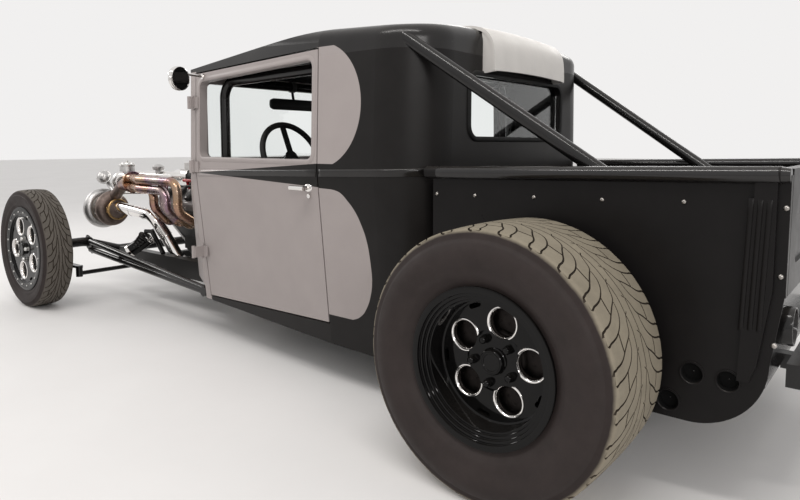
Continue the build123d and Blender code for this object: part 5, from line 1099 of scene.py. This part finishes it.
CUSHION = ((1.214, 0.470), (0.870, 0.456), (0.866, 0.500), (1.206, 0.518))
BACKREST = ((0.852, 0.500), (0.778, 0.862), (0.800, 0.868), (0.884, 0.520))
SWELL = 0.022
for label, side in SIDES:
    inner, outer = sorted((side * 0.022, side * 0.448))
    soft_pad(f"seat_cushion_{label}", CUSHION, inner, outer, SWELL)
    soft_pad(f"seat_backrest_{label}", BACKREST, inner, outer, SWELL)
    piping = Shape()
    for *_, (x, z) in (CUSHION, BACKREST):
        ys = (inner + 0.012 + (outer - inner - 0.024) * k / 10 for k in range(11))
        piping.tube([(fore(x) + 0.004, y, z + 0.003) for y in ys], 3.2, 8)
    piping.build(f"seat_piping_{label}", "leather", "seat_leather")

# ---------------------------------------------------------------- engine dress
TURBINE_X = fore(3.050)
COMPRESSOR_X = fore(3.175)
TURBO_Y, TURBO_Z = 0.350, 0.515
COLLECTOR = Vector((fore(2.850), 0.352, 0.690))
CRANK = Vector((0, 0, 0.342))
PORTS_X = [fore(2.165) + 0.110 * k for k in range(4)]
BANK_X = (fore(2.120) + fore(2.650)) / 2
# Each primary's place across, its offset at the collector across and up, and the station of its last bend
PRIMARIES = (
    (0.440, 0.025, 0.025, 2.560), (0.440, 0.025, -0.025, 2.560), (0.388, -0.025, 0.025, 2.580),
    (0.388, -0.025, -0.025, 2.580),
)
WASTEGATE = [(-14, 42.4), (-10, 45), (-6, 45), (-3, 42.4), (-1, 33), (5.5, 30), (9, 18), (10, 6)]
ACTUATOR = [
    (-34, 16), (-30, 30), (-12, 38), (-4, 38.5), (-3, 44.5), (4, 44.5), (5, 38.5), (14, 36), (24, 29), (30, 17),
    (31.5, 13), (38, 12), (38.5, 3),
]
INJECTOR = [(0, 7.2), (20, 7.2), (21, 9), (34, 9), (36, 6), (52, 6)]
RUNNER = ((0.088, 0.705), (0.118, 0.700), (0.141, 0.672), (0.148, 0.630), (0.150, 0.606))


def band(wide, low, high, lip=0.0, chamfer=0.0):
    """Profile of a flat band, square or with chamfered edges."""
    if not lip:
        return [(-wide, low), (-wide, high), (wide, high), (wide, low)]
    flat = wide - chamfer
    return [(-wide, low), (-wide, high), (-flat, high + lip), (flat, high + lip), (wide, high), (wide, low)]


for label, side in SIDES:
    turbo = Vector((0, side * TURBO_Y, TURBO_Z))
    up = Vector((0, side * math.sqrt(0.5), math.sqrt(0.5)))
    off = Vector((0, side * math.sqrt(0.5), -math.sqrt(0.5)))

    def spot_at(x, y, z):
        """Place on this side of the vehicle."""
        return Vector((x, side * y, z))

    # Turbocharger clamps, bolts and oil pipe
    clamps, shell = Shape(), Shape()
    for x, r in ((TURBINE_X - 0.0605, 58.5), (TURBINE_X + 0.0425, 56.5)):
        spot = turbo + AHEAD * x
        clamps.turned(spot, AHEAD, band(7.5, r - 3, r + 3, 3.8, 3), 48, closed=True)
        clamps.tube([spot + spot_at(0, (r + 9) * MM, z) for z in (-0.018, 0.018)], 3.2, 10)
        for z in (0.010, -0.010):
            clamps.block(spot + spot_at(0, (r + 7) * MM, z), (6, 4, 5), 1, (AHEAD, UP, LEFT))
    clamps.build(f"turbo_clamps_{label}", "gold", "header_steel")
    for spot in circle(turbo + AHEAD * (COMPRESSOR_X - 0.030), LEFT, UP, 0.0700, 8, 20):
        shell.bolt(spot, -AHEAD, 5.8, 6)
    shell.ring(turbo + AHEAD * (COMPRESSOR_X + 0.0705), AHEAD, 56, 5.8, 48, 10, 0.25)
    for spot in circle(turbo + AHEAD * (TURBINE_X + 0.0555), LEFT, UP, 0.0470, 6, 10):
        shell.bolt(spot, -AHEAD, 4.8, 5)
    wastegate = spot_at(COLLECTOR.x, COLLECTOR.y, 0.798)
    shell.turned(wastegate, UP, WASTEGATE, 40)
    shell.turned(wastegate + UP * 0.0085, UP, [(0, 8.5), (10, 8), (12, 6), (13, 2)], 12)
    for spot in circle(wastegate - UP * 0.0022, AHEAD, LEFT, 0.0382, 8):
        shell.bolt(spot, UP, 3.4, 4.5)
    shell.build(f"turbo_bolts_{label}", "steel", "cast_alloy")
    feed = [
        turbo + spot_at(TURBINE_X + 0.062, -0.030, 0.040), turbo + spot_at(TURBINE_X + 0.040, -0.075, 0.085),
        spot_at(fore(2.960), 0.250, 0.610), spot_at(fore(2.780), 0.235, 0.615), spot_at(fore(2.640), 0.222, 0.605),
    ]
    lines = Shape()
    lines.tube(curve_through(feed, 8), 5.8)
    lines.build(f"turbo_oil_pipe_{label}", "polished", "bright_metal")

    # Boost actuator beside the turbocharger, facing out and back
    look_at = Vector((-0.62, side * 0.66, 0.42)).normalized()
    middle = spot_at(fore(3.150), 0.352, 0.708)
    actuator = Shape()
    actuator.turned(middle, look_at, ACTUATOR, 44)
    u, v, w = basis(look_at)
    for spot in circle(middle + w * 0.0038, u, v, 0.0412, 6):
        actuator.bolt(spot, look_at, 3, 4)
    stem = [
        middle - look_at * 0.030, middle - look_at * 0.060 - UP * 0.006, spot_at(fore(3.060), 0.345, 0.640),
        spot_at(fore(2.985), 0.351, 0.612),
    ]
    actuator.tube(curve_through(stem, 8), 16.5, 18)
    actuator.build(f"boost_actuator_{label}", "cast", "cast_alloy")

    # Weld beads on the primaries, flange on the head and bolts
    seams, studs = Shape(), Shape()
    for x, (wide, dy, dz, turn) in zip(PORTS_X, PRIMARIES):
        top = COLLECTOR.z + dz
        start = spot_at(fore(turn), wide, top)
        run = spot_at(COLLECTOR.x - 0.110, COLLECTOR.y + dy, top) - start
        welds = [(spot_at(x, wide, 0.602), UP), (start + run * 0.34, run), (start + run * 0.72, run)]
        if fore(turn) - x > 0.10:
            welds.append((spot_at(x + 0.064, wide, top), AHEAD))
        for spot, axis in welds:
            seams.ring(spot, axis, 23.8, 1.7, 30, 6)
    joint = spot_at(COLLECTOR.x - 0.064, COLLECTOR.y, COLLECTOR.z)
    seams.turned(joint, AHEAD, [(-3, 61.5), (-2, 64.5), (2, 64.5), (3, 61.5)], 48, closed=True)
    port = CRANK + up * 0.2875 + off * 0.0758
    flange = port + AHEAD * (PORTS_X[0] + 0.165) + off * 0.0045
    seams.block(flange, (200, 30, 4.5), 1.2, (AHEAD, up, off))
    seams.build(f"header_welds_{label}", "headers", "header_steel")
    for x in PORTS_X:
        for shift in (-0.036, 0.036):
            studs.bolt(port + AHEAD * (x + shift) + off * 0.009 + up * 0.012, off, 6.2, 7)

    # Rocker cover ribs, coils and screws
    ribs, coils = Shape(), Shape()
    deck = CRANK + up * 0.4025
    for k in range(-3, 4):
        start = deck + off * (k * 0.0125) + AHEAD * (BANK_X - 0.195) - up * 0.0010
        ribs.tube([start, start + AHEAD * 0.390], 3.2, 8)
    ribs.build(f"rocker_ribs_{label}", "cast", "cast_alloy")
    for x in PORTS_X:
        spot = deck + AHEAD * x + up * 0.0115
        coils.block(spot, (21, 36, 12.5), 3, (AHEAD, off, up))
        coils.block(spot - off * 0.046 - up * 0.002, (11, 13, 8), 2, (AHEAD, off, up))
        for shift in (-0.028, 0.028):
            studs.bolt(spot + off * shift + up * 0.0122, up, 4.5, 4.5)
    stations = np.linspace(PORTS_X[0] - 0.05, PORTS_X[-1] + 0.08, 30)
    loom = [deck + AHEAD * x - off * 0.058 + up * (0.012 + 0.004 * math.sin(x * 40)) for x in stations]
    coils.tube(loom, 7.5, 10)
    coils.build(f"ignition_coils_{label}", "plastic", "black_plastic")
    for shift in (-0.205, -0.07, 0.07, 0.205):
        for sign in (-1, 1):
            edge = CRANK + up * 0.372 + AHEAD * (BANK_X + shift) + off * (sign * 0.05992)
            studs.bolt(edge, off * sign, 4.8, 5)
    studs.build(f"engine_bolts_{label}", "steel", "cast_alloy")

    # Intake runners and fuel rail
    runners, rail = Shape(), Shape()
    rail.tube([spot_at(fore(x), 0.178, 0.702) for x in (2.140, 2.525)], 9.5, 16)
    for x in PORTS_X:
        runners.tube(curve_through([spot_at(x, y, z) for y, z in RUNNER], 5), 19.5, 18)
        rail.turned(spot_at(x, 0.178, 0.700), (0, -side * 0.35, -1), INJECTOR, 14)
    runners.build(f"intake_runners_{label}", "iron", "black_plastic")
    rail.build(f"fuel_rail_{label}", "red", "cast_alloy")

    # Downpipe seams, bellows; charge pipe clamps
    pipe, bands = Shape(), Shape()
    a, b = spot_at(TURBINE_X - 0.0645, 0.350, 0.530), spot_at(fore(2.585), 0.350, 0.505)
    drop = spot_at(fore(2.548), 0.292, 0.385) - b
    for share in (0.10, 0.46, 0.80):
        pipe.ring(a + (b - a) * share, b - a, 32.6, 1.8, 36, 6)
    for k in range(7):
        pipe.ring(b + drop * (0.56 + 0.075 * k), drop, 32.5, 4.8, 36, 8, 0.85)
    pipe.build(f"downpipe_bellows_{label}", "polished", "bright_metal")
    for z in (0.600, 0.655):
        spot = spot_at(COMPRESSOR_X, 0.258, z)
        bands.turned(spot, UP, band(6.5, 29.8, 32.2), 40, closed=True)
        bands.block(spot + LEFT * (side * 0.036), (10, 5, 5), 1)
    bands.build(f"charge_pipe_bands_{label}", "chrome", "bright_metal")

    # Front damper: gloss black body with bright collars
    foot = spot_at(fore(2.620), 0.486, 0.302)
    axis = (spot_at(fore(2.482), 0.354, 0.434) - foot).normalized()
    damper, collars = Shape(), Shape()
    damper.turned(foot + axis * 0.022, axis, [(0, 33), (3, 35.5), (118, 35.5), (121, 33)], 40)
    damper.build(f"damper_body_{label}", "wheel", "black_metal")
    for share, wide in ((0.018, 10), (0.146, 4)):
        collars.turned(foot + axis * share, axis, band(wide, 30, 36.2, 1.6, 1.5), 40, closed=True)
    collars.build(f"damper_collars_{label}", "chrome", "bright_metal")

# Blow-off valve, red cap and reservoir on top of the pipes
valve, cap, reservoir = Shape(), Shape(), Shape()
place = Vector((fore(2.944), 0.098, 0.742))
BLOW_OFF = [(-12, 20), (6, 20), (10, 34), (24, 36), (30, 36), (34, 31), (41, 24.48), (46, 10.2), (47, 3)]
valve.turned(place, UP, BLOW_OFF, 40)
for spot in circle(place + UP * 0.0312, AHEAD, LEFT, 0.030, 6):
    valve.bolt(spot, UP, 3.6, 5)
valve.build("blow_off_valve", "cast", "cast_alloy")
RED_CAP = [(-10, 22), (4, 22), (6, 27), (17, 27), (19, 24), (21, 10), (21.5, 2)]
cap.turned((fore(3.137), 0.207, 0.737), UP, RED_CAP, 32)
cap.build("red_pipe_cap", "red", "cast_alloy")
reservoir.block((fore(2.410), 0.150, 0.7695), (50, 92, 2.2), 1)
POT = [(0, 36), (3, 39.5), (26, 39.5), (30, 38.5), (31, 40.5), (36, 40.5), (38, 30), (38.5, 2)]
reservoir.turned((fore(2.410), 0.196, 0.7715), UP, POT, 36)
reservoir.build("fluid_reservoir", "reservoir", "black_plastic")


# ---------------------------------------------------------------- stage, light, camera
def area_light(name, place, target, size, size_y, power, colour):
    lamp = bpy.data.lights.new(name, "AREA")
    lamp.shape = "RECTANGLE"
    lamp.size = size
    lamp.size_y = size_y
    lamp.energy = power
    lamp.color = colour
    obj = bpy.data.objects.new(name, lamp)
    obj.location = place
    obj.rotation_euler = (Vector(target) - Vector(place)).to_track_quat("-Z", "Y").to_euler()
    bpy.context.scene.collection.objects.link(obj)


floor_mesh = bpy.data.meshes.new("stage_floor")
floor_mesh.from_pydata([(-40, -40, 0), (40, -40, 0), (40, 40, 0), (-40, 40, 0)], [], [(0, 1, 2, 3)])
floor = bpy.data.objects.new("stage_floor", floor_mesh)
bpy.context.scene.collection.objects.link(floor)
floor_look = Look("pale_floor", rough=0.55, spec=0.3)
floor_look.colour(floor_look.ramp(floor_look.noise(1.3, 5.0), (0.3, (0.80, 0.79, 0.785)), (0.7, (0.84, 0.83, 0.825))))
floor_mesh.materials.append(floor_look.m)

world = bpy.data.worlds.new("studio")
bpy.context.scene.world = world
world.use_nodes = True
tree = world.node_tree
tree.nodes.clear()
KINDS = ("OutputWorld", "Background", "Background", "LightPath", "Math", "Math", "MixShader")
shown, seen, lit, path, first, second, mixer = (tree.nodes.new("ShaderNode" + kind) for kind in KINDS)
seen.inputs[0].default_value = (0.88, 0.87, 0.865, 1)
lit.inputs[0].default_value = (1.0, 0.985, 0.97, 1)
lit.inputs[1].default_value = 0.72
first.operation = second.operation = "MAXIMUM"
for source, socket in (
    (path.outputs["Is Camera Ray"], first.inputs[0]),
    (path.outputs["Is Transmission Ray"], first.inputs[1]),
    (first.outputs[0], second.inputs[0]),
    (path.outputs["Is Glossy Ray"], second.inputs[1]),
    (second.outputs[0], mixer.inputs[0]),
    (lit.outputs[0], mixer.inputs[1]),
    (seen.outputs[0], mixer.inputs[2]),
    (mixer.outputs[0], shown.inputs[0]),
):
    tree.links.new(source, socket)

area_light("key_above", (-1.0, 2.6, 4.6), (0.0, 0.2, 0.5), 4.5, 0.25, 90, (1.0, 0.97, 0.94))
area_light("fill_rear_left", (-4.6, 3.2, 2.2), (-0.6, 0.2, 0.5), 3.0, 0.22, 50, (1.0, 0.97, 0.95))
area_light("fill_front", (5.2, 1.8, 2.8), (1.2, 0.2, 0.4), 3.0, 0.5, 45, (1.0, 0.98, 0.96))
area_light("fill_right", (0.5, -5.0, 3.6), (0.0, 0.0, 0.6), 4.5, 0.8, 60, (1.0, 0.98, 0.96))

camera_data = bpy.data.cameras.new("camera")
camera_data.sensor_width = 36.0
camera_data.lens = 28.35
camera_data.shift_y = -0.0605
camera_data.clip_end = 200.0
camera = bpy.data.objects.new("camera", camera_data)
bpy.context.scene.collection.objects.link(camera)
AZIMUTH = math.radians(50.65)
FALL = math.radians(5.15)
forward = Vector((math.cos(AZIMUTH) * math.cos(FALL), -math.sin(AZIMUTH) * math.cos(FALL), -math.sin(FALL)))
camera.location = (-2.1751, 2.24, 0.911)
camera.rotation_euler = forward.to_track_quat("-Z", "Y").to_euler()
bpy.context.scene.camera = camera
bpy.context.scene.view_settings.view_transform = "Standard"
